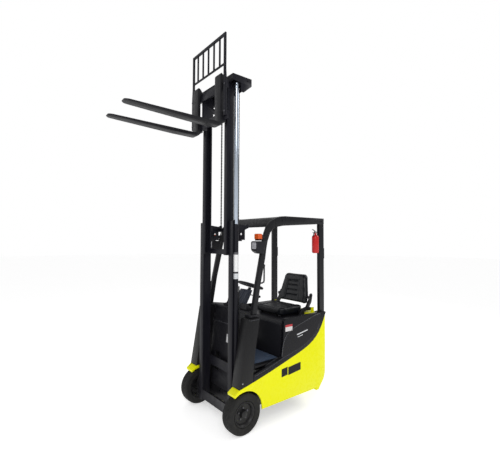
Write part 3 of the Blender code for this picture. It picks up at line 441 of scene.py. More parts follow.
RIM = Finish("rim_paint", (0.007, 0.007, 0.008), 0.36, shine=0.25, dust=0.04)
CHROME = Finish("hard_chrome", (0.40, 0.45, 0.52), 0.20, 1.0, grain=Grain.BRUSHED, depth=0.00001,
                mottle=0.05, smudge=0.05, dust=0.0)
ZINC = Finish("zinc_steel", (0.34, 0.34, 0.34), 0.32, 1.0, grain=Grain.BRUSHED, depth=0.00003,
              dust=0.05)
DARK_ZINC = Finish("dark_bolt_steel", (0.09, 0.09, 0.10), 0.36, 1.0, grain=Grain.BRUSHED,
                   depth=0.00003, dust=0.05)
CHAIN = Finish("oiled_chain", (0.055, 0.055, 0.056), 0.36, 0.9, grain=Grain.ROLLED, depth=0.00005)
RED = Finish("extinguisher_red", (0.46, 0.010, 0.009), 0.24, shine=0.35, mottle=0.08, smudge=0.05,
             dust=0.0)
AMBER = RibbedFinish("amber_lens", (0.62, 0.085, 0.008), 0.20, shine=0.4, mottle=0.25, smudge=0.03,
                     dust=0.0,
                     ribs=220.0, across=2, depth=0.0003)
RED_LENS = RibbedFinish("red_lens", (0.30, 0.006, 0.006), 0.20, shine=0.4, mottle=0.05, smudge=0.03,
                        dust=0.0,
                        ribs=220.0, across=2, depth=0.0003)
CLEAR_LENS = RibbedFinish("clear_lens", (0.33, 0.33, 0.35), 0.16, shine=0.6, mottle=0.35,
                          smudge=0.03, dust=0.0,
                          ribs=160.0, across=0, depth=0.0003)
BATTERY = Finish("battery_grey", (0.10, 0.105, 0.11), 0.5, shine=0.3)
SCREEN = Finish("display_glass", (0.006, 0.010, 0.012), 0.10, coat=0.5, dust=0.0, smudge=0.03,
                depth=0.00001)
HOSE = Finish("hose_rubber", (0.010, 0.010, 0.011), 0.50, shine=0.25, grain=Grain.RUBBER,
              depth=0.0001, dust=0.02)
FITTING = Finish("passivated_fitting", (0.22, 0.215, 0.15), 0.38, 0.7, grain=Grain.BRUSHED,
                 depth=0.00003)


class Wardrobe:
    """Keeps one material for each finish, so pieces of one kind share it."""

    def __init__(self) -> None:
        """Start empty."""
        self.made: dict[str, bpy.types.Material] = {}

    def get(self, finish: Finish) -> bpy.types.Material:
        """Material of a finish, made on first use."""
        if finish.name not in self.made:
            self.made[finish.name] = finish.material()
        return self.made[finish.name]

    def wear(self, obj: bpy.types.Object, finish: Finish) -> bpy.types.Object:
        """Give a piece one finish.

        Args:
            obj: The piece.
            finish: Its finish.

        Returns:
            The new object.
        """
        obj.data.materials.clear()
        obj.data.materials.append(self.get(finish))
        return obj

    def node(self, finish: Finish, *names: str) -> None:
        """Give carried-over pieces a finish by their slots."""
        for name in names:
            self.wear_slots(FRAME["nodes"][name], finish)

    def wear_slots(self, obj: bpy.types.Object, finish: Finish) -> None:
        """Fill every slot of a carried-over piece."""
        for slot in obj.material_slots:
            slot.material = self.get(finish)


WARDROBE = Wardrobe()


# ---------------------------------------------------------------- surfaces
def put(name: str, points: np.ndarray, faces: Sequence[Sequence[int]],
        sharp: float = 35.0) -> bpy.types.Object:
    """Make a mesh object at the origin.

    Args:
        name: Piece name.
        points: Vertices, one row each.
        faces: Vertex indices of each face.
        sharp: Angle in degrees past which an edge stays sharp.

    Returns:
        The new object.
    """
    mesh = bpy.data.meshes.new(name)
    mesh.from_pydata(points.tolist(), [], [list(map(int, f)) for f in faces])
    mesh.update()
    obj = bpy.data.objects.new(name, mesh)
    bpy.context.scene.collection.objects.link(obj)
    tidy(obj, sharp)
    return obj


def tidy(obj: bpy.types.Object, sharp: float) -> None:
    """Merge doubles, turn faces outwards and shade by angle.

    Args:
        obj: The piece.
        sharp: Angle in degrees past which an edge stays sharp.
    """
    bm = bmesh.new()
    bm.from_mesh(obj.data)
    bmesh.ops.remove_doubles(bm, verts=bm.verts, dist=1e-6)
    bmesh.ops.recalc_face_normals(bm, faces=bm.faces)
    bm.to_mesh(obj.data)
    bm.free()
    obj.data.shade_smooth()
    obj.data.set_sharp_from_angle(angle=math.radians(sharp))


def grid(name: str, points: np.ndarray, wrap_u: bool, wrap_v: bool,
         sharp: float = 35.0) -> bpy.types.Object:
    """Surface over a grid of points: quads join (i, j), (i+1, j), (i+1, j+1) and (i, j+1).

    Args:
        name: Piece name.
        points: Array of shape (u, v, 3).
        wrap_u: Join the last row to the first.
        wrap_v: Join the last column to the first.
        sharp: Angle in degrees past which an edge stays sharp.

    Returns:
        The new object.
    """
    nu, nv = points.shape[:2]
    index = np.arange(nu * nv).reshape(nu, nv)
    rows = index if wrap_u else index[:-1]
    after = np.roll(index, -1, 0) if wrap_u else index[1:]
    if wrap_v:
        quads = np.stack((rows, after, np.roll(after, -1, 1), np.roll(rows, -1, 1)), -1)
    else:
        quads = np.stack((rows[:, :-1], after[:, :-1], after[:, 1:], rows[:, 1:]), -1)
    return put(name, points.reshape(-1, 3), quads.reshape(-1, 4), sharp)


def lathe(name: str, profile: Sequence[tuple[float, float]], centre: Sequence[float],
          axis: Sequence[float],
          steps: int = 48, closed: bool = True, sharp: float = 35.0) -> bpy.types.Object:
    """Turn a profile: point = centre + r cos(t) a + r sin(t) b + h axis.

    Args:
        name: Piece name.
        profile: Pairs (radius, height along the axis).
        centre: Origin of the axis.
        axis: Direction of the axis.
        steps: Steps round.
        closed: Whether the profile is a ring away from the axis.
        sharp: Angle in degrees past which an edge stays sharp.

    Returns:
        The new object.
    """
    along = Vector(axis).normalized()
    side = along.orthogonal().normalized()
    a, b, w = (np.array(v) for v in (side, along.cross(side), along))
    r, h = np.array(profile).T
    t = np.linspace(0.0, 2.0 * math.pi, steps, endpoint=False)[:, None, None]
    points = np.array(centre) + r[None, :, None] * (np.cos(t) * a + np.sin(t) * b) + h[None, :,
                                                                                       None] * w
    return grid(name, points, True, closed, sharp)


def prism(name: str, outline: Sequence[tuple[float, float]], span: tuple[float, float],
          plane: Plane,
          bevel: float = 0.0, segments: int = 2) -> bpy.types.Object:
    """Extrude a flat outline between two levels and round its edges.

    Args:
        name: Piece name.
        outline: Points in the plane's two axes.
        span: Lower and upper level along the third axis.
        plane: Plane of the outline.
        bevel: Width of the rounded edges, 0 for none.
        segments: Steps of the rounding.

    Returns:
        The new object.
    """
    first, second, third = plane.value
    count = len(outline)
    points = np.zeros((2 * count, 3))
    points[:, [first, second]] = np.tile(np.array(outline), (2, 1))
    points[:count, third] = span[0]
    points[count:, third] = span[1]
    ring = np.arange(count)
    after = np.roll(ring, -1)
    sides = np.stack((ring, after, after + count, ring + count), -1).tolist()
    obj = put(name, points, [ring.tolist(), (ring + count).tolist()] + sides)
    if bevel > 0.0:
        round_edges(obj, bevel, segments)
    return obj


def slab(name: str, x: Sequence[float], y: Sequence[float], z: Sequence[float], bevel: float = 0.001
         ) -> bpy.types.Object:
    """Rounded box between three pairs of limits."""
    outline = [(y[0], z[0]), (y[1], z[0]), (y[1], z[1]), (y[0], z[1])]
    return prism(name, outline, (x[0], x[1]), Plane.SIDE, bevel)


def round_edges(obj: bpy.types.Object, width: float, segments: int = 2,
                angle: float = 30.0) -> None:
    """Add a bevel that keeps flat faces flat.

    Args:
        obj: The piece.
        width: Width of the rounded edges.
        segments: Steps of the rounding.
        angle: Edges sharper than this are rounded.
    """
    modifier = obj.modifiers.new("rounded", "BEVEL")
    modifier.width = width
    modifier.segments = segments
    modifier.limit_method = "ANGLE"
    modifier.angle_limit = math.radians(angle)
    modifier.harden_normals = True
    modifier.use_clamp_overlap = True


def sweep(name: str, path: np.ndarray, section: np.ndarray,
          sharp: float = 50.0) -> bpy.types.Object:
    """Carry a section along a path: point = path(u) + p(v) n(u) + q(v) b(u), ends capped.

    Args:
        name: Piece name.
        path: Points of the centre line.
        section: Pairs (p, q) round the section.
        sharp: Angle in degrees past which an edge stays sharp.

    Returns:
        The new object.
    """
    tangent = np.gradient(path, axis=0)
    tangent /= np.linalg.norm(tangent, axis=1, keepdims=True)
    spread = path.max(0) - path.min(0)
    fixed = np.eye(3)[int(np.argmin(spread))]
    normal = np.cross(tangent, fixed)
    normal /= np.linalg.norm(normal, axis=1, keepdims=True)
    across = np.cross(tangent, normal)
    points = path[:, None] + section[None, :, :1] * normal[:, None] + section[None, :,
                                                                              1:] * across[:, None]
    return grid(name, capped(points, path), False, True, sharp)


def capped(rings: np.ndarray, centres: np.ndarray) -> np.ndarray:
    """Close a loft by adding a ring shrunk to a point at each end.

    Args:
        rings: Array of shape (u, v, 3).
        centres: Middle of each ring.

    Returns:
        Array of shape (u + 2, v, 3).
    """
    start, end = (np.repeat(centres[i][None, None], rings.shape[1], 1) for i in (0, -1))
    return np.concatenate((start, rings, end))


def ring_section(radius: float, count: int = 12) -> np.ndarray:
    """Round section."""
    t = np.linspace(0.0, 2.0 * math.pi, count, endpoint=False)
    return radius * np.stack((np.cos(t), np.sin(t)), -1)


def rounded_outline(wide: float, tall: float, radius: float, steps: int = 6) -> np.ndarray:
    """Rounded rectangle: four corner arcs of one radius.

    Args:
        wide: Half width.
        tall: Half height.
        radius: Corner radius.
        steps: Steps in each corner.

    Returns:
        Array of pairs.
    """
    t = np.concatenate([np.linspace(q, q + 0.5, steps) * math.pi for q in (0.0, 0.5, 1.0, 1.5)])
    signs = np.repeat(np.array(((1, 1), (-1, 1), (-1, -1), (1, -1))), steps, 0)
    return signs * np.array((wide - radius, tall - radius)) + radius * np.stack((np.cos(t),
                                                                                 np.sin(t)), -1)


def smooth_path(points: Sequence[Sequence[float]], count: int = 40) -> np.ndarray:
    """Catmull-Rom curve through a few points.

    Args:
        points: Points that the curve passes.
        count: Points in the result.

    Returns:
        Array of shape (count, 3).
    """
    knots = np.array([points[0], *points, points[-1]], dtype=float)
    s = np.linspace(0.0, len(points) - 1 - 1e-9, count)
    i = s.astype(int)
    t = (s - i)[:, None]
    p0, p1, p2, p3 = (knots[i + k] for k in range(4))
    return 0.5 * (2 * p1 + (p2 - p0) * t + (2 * p0 - 5 * p1 + 4 * p2 - p3) * t**2
                  + (3 * p1 - p0 - 3 * p2 + p3) * t**3)


def studs(name: str, places: np.ndarray, axis: Sequence[float], radius: float, height: float,
          sides: int = 6
          ) -> bpy.types.Object:
    """Bolt heads or discs at many places in one piece, each with a chamfered top.

    Args:
        name: Piece name.
        places: Centres of the seats.
        axis: Direction that the heads stand out along.
        radius: Radius over the corners.
        height: Height of a head.
        sides: Sides of a head.

    Returns:
        The new object.
    """
    along = Vector(axis).normalized()
    side = along.orthogonal().normalized()
    a, b, w = (np.array(v) for v in (side, along.cross(side), along))
    t = np.linspace(0.0, 2.0 * math.pi, sides, endpoint=False)[:, None]
    ring = np.cos(t) * a + np.sin(t) * b
    levels = ((1.0, 0.0), (1.0, 0.75), (0.84, 1.0))
    one = np.concatenate([ring * radius * share + w * height * rise for share, rise in levels])
    points = (np.array(places)[:, None] + one[None]).reshape(-1, 3)
    faces: list[list[int]] = []
    k = np.arange(sides)
    after = np.roll(k, -1)
    for start in range(0, len(places) * len(one), len(one)):
        faces.append((start + k).tolist())
        faces.append((start + 2 * sides + k).tolist())
        for level in (0, 1):
            base = start + level * sides
            quads = np.stack((base + k, base + after, base + sides + after, base + sides + k), -1)
            faces.extend(quads.tolist())
    return put(name, points, faces, 20.0)


def copied(node: str, name: str) -> bpy.types.Object:
    """Copy a carried-over piece as a welded mesh with its flat faces whole.

    Args:
        node: Carried-over piece.
        name: Name of the copy.

    Returns:
        The new object.
    """
    mesh = FRAME["nodes"][node].data.copy()
    bm = bmesh.new()
    bm.from_mesh(mesh)
    bmesh.ops.remove_doubles(bm, verts=bm.verts, dist=WELD)
    bmesh.ops.dissolve_limit(bm, angle_limit=math.radians(1.0), verts=bm.verts, edges=bm.edges)
    bm.to_mesh(mesh)
    bm.free()
    obj = bpy.data.objects.new(name, mesh)
    bpy.context.scene.collection.objects.link(obj)
    return obj


def body_name(node: str) -> str:
    """Body that carries a piece of the frame."""
    for name, nodes in FRAME["record"]["behaviour"]["bodies"].items():
        if node in nodes:
            return name
    raise KeyError(node)


def soften(node: str, finish: Finish, width: float = 0.002, segments: int = 2,
           angle: float = 30.0) -> None:
    """Replace a carried-over piece with a copy whose edges are rounded.

    Args:
        node: Carried-over piece.
        finish: Finish of the copy.
        width: Width of the rounded edges.
        segments: Steps of the rounding.
        angle: Edges sharper than this are rounded.
    """
    obj = copied(node, node + "_shell")
    obj.data.shade_smooth()
    round_edges(obj, width, segments, angle)
    fit(obj, node, finish)


def fit(obj: bpy.types.Object, node: str, finish: Finish) -> bpy.types.Object:
    """Dress a piece, let it ride with a node's body and stand for that node.

    Args:
        obj: The new piece.
        node: Node that it replaces.
        finish: Its finish.

    Returns:
        The piece.
    """
    WARDROBE.wear(obj, finish)
    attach(obj, body_name(node))
    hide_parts(node)
    LOG.info("%s stands for %s", obj.name, node)
    return obj


def join_to(obj: bpy.types.Object, node: str, finish: Finish) -> bpy.types.Object:
    """Dress an added detail and let it ride with a node's body.

    Args:
        obj: The piece.
        node: Carried-over piece.
        finish: Its finish.

    Returns:
        The new object.
    """
    WARDROBE.wear(obj, finish)
    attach(obj, body_name(node))
    LOG.info("%s added to %s", obj.name, node)
    return obj


def box(node: str) -> tuple[Vector, Vector]:
    """Lowest and highest corners of a node."""
    low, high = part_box(node)
    return Vector(low), Vector(high)


def middle(node: str) -> Vector:
    """Centre of a node's box."""
    low, high = box(node)
    return (low + high) / 2


def outer_face(node: str, sign: float) -> float:
    """X of a node's outermost face on the left (sign 1) or on the right (sign -1)."""
    low, high = box(node)
    return high.x if sign > 0 else low.x


def rising(a: float, b: float) -> tuple[float, float]:
    """Two levels in rising order."""
    return min(a, b), max(a, b)


# ---------------------------------------------------------------- body
@dataclass
class Body:
    """Yellow frame and casting with the black covers, shields, floor and cowl."""

    frame_edge: float = 0.004
    casting_edge: float = 0.012
    panel_rise: float = 0.0016

    def build(self) -> None:
        """Build every body piece."""
        self.shells()
        for side, sign in SIDES:
            self.leaf(side, sign)
            self.plates(side, sign)
            self.sticker(side, sign)
            self.shield_detail(side, sign)
        self.mat()
        self.cowl_detail()
        self.tail_detail()
        WARDROBE.node(BATTERY, "traction_battery")

    def shells(self) -> None:
        """Soften the carried-over body pieces."""
        soften("chassis_frame", LIME, self.frame_edge, 2)
        self.blacken("chassis_frame_shell")
        soften("counterweight", LIME, self.casting_edge, 3, 40.0)
        for side, _ in SIDES:
            soften("side_cover_" + side, PANEL, 0.004, 3)
            soften("leg_shield_" + side, SHIELD, 0.005, 3)
        soften("front_cowl", PLASTIC, 0.002)
        soften("dash_panel", PLASTIC, 0.003)
        soften("floor_plate", BLACK_PAINT, 0.001)
        soften("battery_box_front", PLASTIC, 0.003)
        soften("battery_hood", PLASTIC, 0.003)

    def blacken(self, name: str) -> None:
        """Black paint on the faces nearer the middle than the outer plates and the fender tops.

        Args:
            name: Name of the softened frame.
        """
        obj = bpy.data.objects[name]
        mesh = obj.data
        mesh.materials.append(WARDROBE.get(BLACK_PAINT))
        centres = np.empty(len(mesh.polygons) * 3)
        mesh.polygons.foreach_get("center", centres)
        centres = centres.reshape(-1, 3)
        across = np.abs(centres[:, 0])
        fender = (centres[:, 1] < 0.08) & (across > 0.335) & (centres[:, 2] > 0.33)
        inner = (across < 0.446) & ~fender
        mesh.polygons.foreach_set("material_index", inner.astype(np.int32))
        mesh.update()

    def bead(self, name: str, node: str, points: Sequence[tuple[float, float, float]],
             radius: float = 0.0022,
             count: int = 60) -> None:
        """Moulded bead of round section along a curve; its lighter grey colour is a painted
        highlight along the edge.
        """
        join_to(sweep(name, smooth_path(points, count), ring_section(radius, 8)), node, HIGHLIGHT_BEAD)

    def leaf(self, side: str, sign: float) -> None:
        """Leaf-shaped field on the side cover, with raised beads on its edge, on the sill and on
        the step, their lighter grey a painted highlight along those edges.

        Args:
            side: Side of the truck, left or right.
            sign: 1 on the left, -1 on the right.
        """
        node = "side_cover_" + side
        face = outer_face(node, sign)
        top = [(0.470, 0.628), (0.487, 0.735), (0.522, 0.812), (0.585, 0.862), (0.700, 0.905),
               (0.850, 0.945)]
        bottom = [(0.985, 0.980), (1.060, 0.985), (1.072, 0.945), (1.045, 0.860), (0.985, 0.775),
                  (0.900, 0.715)]
        bottom += [(0.740, 0.660), (0.600, 0.628), (0.500, 0.612)]
        outline = [(0.0, y + AXLE, z) for y, z in top + bottom]
        path = smooth_path(outline + outline[:1], 90)[:-1, 1:]
        span = rising(face - sign * 0.002, face + sign * self.panel_rise)
        field_piece = prism("side_leaf_" + side, path.tolist(), span, Plane.SIDE, 0.0012, 2)
        join_to(field_piece, node, PANEL)
        x = face + sign * 0.0004
        self.bead("leaf_bead_" + side, node, [(x, y + AXLE, z) for y, z in top + bottom[:2]],
                  0.0024)
        sill = [(0.112, 0.5125), (0.220, 0.536), (0.330, 0.564), (0.440, 0.596)]
        edge = [(x, y + AXLE, z) for y,
                z in sill + [(0.520, 0.617), (0.600, 0.634), (0.740, 0.668), (0.880, 0.718)]]
        edge += [(x, 0.985 + AXLE, 0.785), (x, 1.052 + AXLE, 0.880)]
        self.bead("sill_bead_" + side, node, edge, 0.0018)
        inside = sign * 0.4262
        self.bead("step_bead_" + side, node, [(inside, y + AXLE, z + 0.016) for y, z in sill],
                  0.0022, 30)
        self.blank_marks(side, sign, face)

    def blank_marks(self, side: str, sign: float, face: float) -> None:
        """Two plain white stripes on the side cover.

        Args:
            side: Side of the truck, left or right.
            sign: 1 on the left, -1 on the right.
            face: X of the outer face.
        """
        span = rising(face + sign * self.panel_rise, face + sign * (self.panel_rise + 0.0006))
        white = (0.62, 0.63, 0.65)
        finish = SheetFinish("white_mark", white, band=white)
        for number, (y0, y1, z, thick) in enumerate(((0.690, 0.855, 0.806, 0.011),
                                                     (0.700, 0.780, 0.782, 0.006))):
            rise = 0.16 * (y1 - y0)
            bar = [(y0 + AXLE, z), (y1 + AXLE, z + rise), (y1 + AXLE, z + rise + thick),
                   (y0 + AXLE, z + thick)]
            join_to(prism(f"mark_{number}_{side}", bar, span, Plane.SIDE), "side_cover_" + side,
                    finish)

    def plates(self, side: str, sign: float) -> None:
        """Two blank black plates on the yellow side.

        Args:
            side: Side of the truck, left or right.
            sign: 1 on the left, -1 on the right.
        """
        face = outer_face("chassis_frame", sign)
        z0, z1 = 0.420, 0.500
        start = box("side_cover_" + side)[0].y + 0.366
        for number, (y0, y1) in enumerate(((start, start + 0.084), (start + 0.094, start + 0.278))):
            lean = 0.10 * (y1 - y0)
            outline = [(y0, z0), (y1, z0 + lean), (y1, z1 + lean), (y0, z1)]
            span = rising(face - sign * 0.001, face + sign * 0.0012)
            plate = prism(f"side_plate_{number}_{side}", outline, span, Plane.SIDE, 0.0005)
            join_to(plate, "chassis_frame", PANEL)

    def sticker(self, side: str, sign: float) -> None:
        """Blank two-coloured sticker near the front of the side cover.

        Args:
            side: Side of the truck, left or right.
            sign: 1 on the left, -1 on the right.
        """
        node = "side_cover_" + side
        face = outer_face(node, sign)
        y0, y1, z0, z1 = 0.520 + AXLE, 0.620 + AXLE, 0.868, 0.935
        span = rising(face, face + sign * 0.0020)
        sheet = prism("sticker_" + side, [(y0, z0), (y1, z0), (y1, z1), (y0, z1)], span, Plane.SIDE,
                      0.0005)
        join_to(sheet, node, SheetFinish("sticker_print", (0.60, 0.58, 0.58), low=z0, high=z1,
                                         band=(0.42, 0.012, 0.020), band_share=0.34))

    def shield_detail(self, side: str, sign: float) -> None:
        """Screws of the leg shield, the lowest one bright, and a raised bead under its cap, its
        lighter grey a painted highlight along the joint.

        Args:
            side: Side of the truck, left or right.
            sign: 1 on the left, -1 on the right.
        """
        node = "leg_shield_" + side
        face = outer_face(node, sign)
        place = np.array([(face, -0.030 + AXLE, 0.478)])
        join_to(studs("shield_screw_" + side, place, (sign, 0, 0), 0.007, 0.0025, 12), node, ZINC)
        places = np.array([(face, 0.100 + AXLE, 0.975), (face, 0.100 + AXLE, 0.935),
                           (face, -0.030 + AXLE, 0.462)])
        join_to(studs("shield_plugs_" + side, places, (sign, 0, 0), 0.008, 0.0020, 12), node,
                SHIELD)
        x = face + sign * 0.0002
        line = [(x, 0.046 + AXLE, 1.0440), (x, 0.110 + AXLE, 1.0440), (x, 0.166 + AXLE, 1.0440)]
        self.bead("cap_bead_" + side, node, line, 0.0016, 20)

    def mat(self) -> None:
        """Floor mat with a flat border: height = z + d (0.5 + 0.5 cos(2 pi n s))^4 over a grid."""
        low, high = box("floor_mat")
        nx, ny = 260, 60
        x = np.linspace(low.x, high.x, nx)
        y = np.linspace(low.y, high.y, ny)
        grid_x, grid_y = np.meshgrid(x, y, indexing="ij")
        inside = (np.abs(grid_x - (low.x + high.x) / 2) < (high.x - low.x) / 2 - 0.022)
        inside &= np.abs(grid_y - (low.y + high.y) / 2) < (high.y - low.y) / 2 - 0.022
        rib = (0.5 + 0.5 * np.cos(2 * math.pi * (grid_x - low.x) / 0.018)) ** 4
        top = high.z - 0.003 + 0.003 * rib * inside
        upper = np.stack((grid_x, grid_y, top), -1)
        lower = upper.copy()
        lower[..., 2] = low.z
        index = np.arange(nx * ny).reshape(nx, ny)
        quads = np.stack((index[:-1, :-1], index[1:, :-1], index[1:, 1:], index[:-1, 1:]),
                         -1).reshape(-1, 4)
        rim = np.concatenate((index[:, 0], index[-1, 1:], index[-2::-1, -1], index[0, -2:0:-1]))
        walls = np.stack((rim, np.roll(rim, -1), np.roll(rim, -1) + nx * ny, rim + nx * ny), -1)
        faces = quads.tolist() + walls.tolist() + [(rim[::-1] + nx * ny).tolist()]
        corners = np.concatenate((upper.reshape(-1, 3), lower.reshape(-1, 3)))
        obj = put("ribbed_mat", corners, faces, 60.0)
        loose_free(obj)
        finish = Finish("mat_rubber", (0.062, 0.095, 0.160), 0.60, shine=0.3, grain=Grain.RUBBER,
                        depth=0.0003,
                        mottle=0.85, dust=0.45, smudge=0.12)
        fit(obj, "floor_mat", finish)

    def cowl_detail(self) -> None:
        """Lip and side wings of the cowl, blank tag, lid line and the pipe under the axle; lip and
        lid line are raised beads whose lighter grey is a painted highlight.
        """
        self.bead("cowl_lip", "front_cowl",
                  [(x, 0.1545 + AXLE, 0.905) for x in (-0.330, -0.1, 0.1, 0.330)], 0.0035, 20)
        wing = [(0.1225, 0.560), (0.158, 0.930), (0.178, 1.050), (0.192, 1.050), (0.172, 0.928),
                (0.1400, 0.626),
                (0.1370, 0.560)]
        for side, sign in SIDES:
            panel = prism("cowl_wing_" + side, [(y + AXLE, z) for y, z in wing],
                          rising(sign * 0.3352, sign * 0.4235), Plane.SIDE, 0.001)
            join_to(panel, "front_cowl", PLASTIC)
        y, z = 0.0985 + AXLE, 0.1083
        pipe = sweep("axle_pipe", np.array([(x, y, z) for x in (-0.300, -0.10, 0.10, 0.300)]),
                     ring_section(0.0112, 16))
        join_to(pipe, "front_axle", HOSE)
        for number, x in enumerate((-0.205, -0.060, 0.110)):
            coupling = lathe(f"pipe_coupling_{number}",
                             [(0.0100, 0.0), (0.0138, 0.0), (0.0138, 0.034), (0.0100, 0.034)],
                             (x, y, z - 0.0025), (1, 0, 0), 12, True)
            join_to(coupling, "front_axle", FITTING)
        low, high = box("battery_box_front")
        line = [(x, low.y + 0.0020, high.z - 0.0105) for x in (low.x + 0.01, 0.0, high.x - 0.01)]
        self.bead("lid_line", "battery_box_front", line, 0.0018, 20)
        z0, z1 = 0.715, 0.800
        y0, y1 = (0.088 + (z - 0.2303) * 0.1000 + AXLE for z in (z0, z1))
        strip = [(y0 - 0.0012, z0), (y1 - 0.0012, z1), (y1 + 0.002, z1), (y0 + 0.002, z0)]
        tag = prism("cowl_tag", strip, (-0.055, 0.020), Plane.SIDE)
        join_to(tag, "front_cowl", SheetFinish("pale_print", (0.55, 0.55, 0.56), low=z0, high=z1,
                                               band=(0.45, 0.45, 0.46)))

    def tail_detail(self) -> None:
        """Tow socket and cooling slats on the back of the counterweight."""
        low, high = box("counterweight")
        socket = lathe("tow_socket",
                       [(0.020, -0.006), (0.036, -0.006), (0.036, 0.006), (0.030, 0.009),
                                      (0.020, 0.004)], (0.0, high.y - 0.020, low.z + 0.28),
                       (0, 1, 0), 32)
        join_to(socket, "counterweight", BLACK_PAINT)
        for number in range(5):
            level = high.z - 0.30 + number * 0.022
            slat = slab(f"vent_slat_{number}", (-0.13, 0.13), (high.y - 0.006, high.y - 0.0002),
                        (level, level + 0.010), 0.002)
            join_to(slat, "counterweight", PANEL)


def loose_free(obj: bpy.types.Object) -> None:
    """Drop vertices that no face uses.

    Args:
        obj: The piece.
    """
    bm = bmesh.new()
    bm.from_mesh(obj.data)
    bmesh.ops.delete(bm, geom=[v for v in bm.verts if not v.link_faces], context="VERTS")
    bm.to_mesh(obj.data)
    bm.free()


# ---------------------------------------------------------------- overhead guard
@dataclass
class Guard:
    """Legs, roof, lamps, handle and extinguisher."""

    edge: float = 0.005
    lens_foot: float = 1.712

    def build(self) -> None:
        """Build every guard piece."""
        for side, sign in SIDES:
            soften("guard_leg_front_" + side, BLACK_PAINT, self.edge, 3, 50.0)
            soften("guard_leg_rear_" + side, BLACK_PAINT, self.edge, 3)
            self.headlamp(side)
            self.turn_lamp(side)
            self.foot(side, sign)
            self.tail_lamp(side)
        soften("guard_roof", BLACK_PAINT, 0.003, 2, 40.0)
        soften("grab_handle", BLACK_PAINT, 0.001, 1, 60.0)
        Extinguisher().build()

    def headlamp(self, side: str) -> None:
        """Work lamp: softened housing, square bezel and a domed lens with fluted glass.

        The lens stands out by h = 0.006 (1 - u^4)(1 - v^4), u and v running from -1 to 1.

        Args:
            side: Side of the truck, left or right.
        """
        node = "headlamp_" + side
        soften(node, PLASTIC, 0.006, 3)
        low, high = box(node)
        x, z = (low.x + high.x) / 2, (self.lens_foot + high.z) / 2
        wide, tall = (high.x - low.x) / 2 - 0.004, (high.z - self.lens_foot) / 2 - 0.002
        outer = rounded_outline(wide, tall, 0.016)
        inner = outer * np.array(((wide - 0.007) / wide, (tall - 0.007) / tall))
        front = low.y - 0.003
        levels = ((outer, low.y + 0.004), (outer, front + 0.002), (outer * 0.98, front),
                  (inner, front),
                  (inner, low.y + 0.004))
        rings = np.stack([np.stack((x + o[:, 0], np.full(len(o), y), z + o[:, 1]), -1) for o,
                          y in levels])
        join_to(grid("lamp_bezel_" + side, rings, True, True), node, PLASTIC)
        u, v = np.meshgrid(np.linspace(-1, 1, 25), np.linspace(-1, 1, 25), indexing="ij")
        dome = front + 0.0045 - 0.006 * (1 - u**4) * (1 - v**4)
        points = np.stack((x + u * (wide - 0.006), dome, z + v * (tall - 0.006)), -1)
        lens = grid("lamp_lens_" + side, points, False, False)
        thick = lens.modifiers.new("glass", "SOLIDIFY")
        thick.thickness = 0.002
        thick.offset = -1.0 if lens.data.polygons[0].normal.y < 0 else 1.0
        join_to(lens, node, CLEAR_LENS)

    def turn_lamp(self, side: str) -> None:
        """Amber lamp: fluted lens in front of a black body, on a base against the leg.

        Args:
            side: Side of the truck, left or right.
        """
        node = "turn_lamp_" + side
        low, high = box(node)
        lens = slab("turn_lens_" + side, (low.x + 0.002, high.x - 0.002),
                    (low.y + 0.002, low.y + 0.056),
                    (low.z + 0.004, high.z - 0.002), 0.010)
        fit(lens, node, AMBER)
        body = slab("turn_body_" + side, (low.x + 0.012, high.x - 0.012),
                    (low.y + 0.048, high.y - 0.012),
                    (low.z + 0.010, high.z - 0.012), 0.005)
        join_to(body, node, PLASTIC)
        base = slab("turn_base_" + side, (low.x + 0.006, high.x - 0.006),
                    (low.y + 0.010, high.y - 0.024),
                    (low.z - 0.008, low.z + 0.006), 0.002)
        join_to(base, node, PLASTIC)

    def tail_lamp(self, side: str) -> None:
        """Rear lamp: black housing with a thin red lens on its rear face.

        Args:
            side: Side of the truck, left or right.
        """
        node = "tail_lamp_" + side
        low, high = box(node)
        housing = slab("tail_housing_" + side, (low.x, high.x), (low.y, high.y - 0.0012),
                       (low.z, high.z), 0.001)
        fit(housing, node, PLASTIC)
        lens = slab("tail_lens_" + side, (low.x + 0.004, high.x - 0.004), (high.y - 0.002, high.y),
                    (low.z + 0.004, high.z - 0.004), 0.0006)
        join_to(lens, node, RED_LENS)

    def foot(self, side: str, sign: float) -> None:
        """Bolted flanges at the feet of the rear legs and bolts at the roof joints.

        Args:
            side: Side of the truck, left or right.
            sign: 1 on the left, -1 on the right.
        """
        low, high = box("guard_leg_rear_" + side)
        inner = low.x if sign > 0 else high.x
        flange = slab("leg_flange_" + side, rising(inner - sign * 0.045, inner + sign * 0.004),
                      (low.y + 0.006, high.y - 0.020), (low.z, low.z + 0.010), 0.002)
        join_to(flange, "guard_leg_rear_" + side, BLACK_PAINT)
        places = np.array([(inner - sign * 0.025, low.y + 0.020, low.z + 0.010),
                           (inner - sign * 0.025, high.y - 0.036, low.z + 0.010)])
        join_to(studs("flange_bolts_" + side, places, (0, 0, 1), 0.010, 0.007),
                "guard_leg_rear_" + side, ZINC)
        roof_low, roof_high = box("guard_roof")
        face = outer_face("guard_roof", sign)
        places = np.array([(face, roof_high.y - 0.040, roof_high.z - 0.034),
                           (face, roof_low.y + 0.100,
                                                                             roof_high.z - 0.050)])
        join_to(studs("roof_bolts_" + side, places, (sign, 0, 0), 0.009, 0.006), "guard_roof",
                BLACK_PAINT)


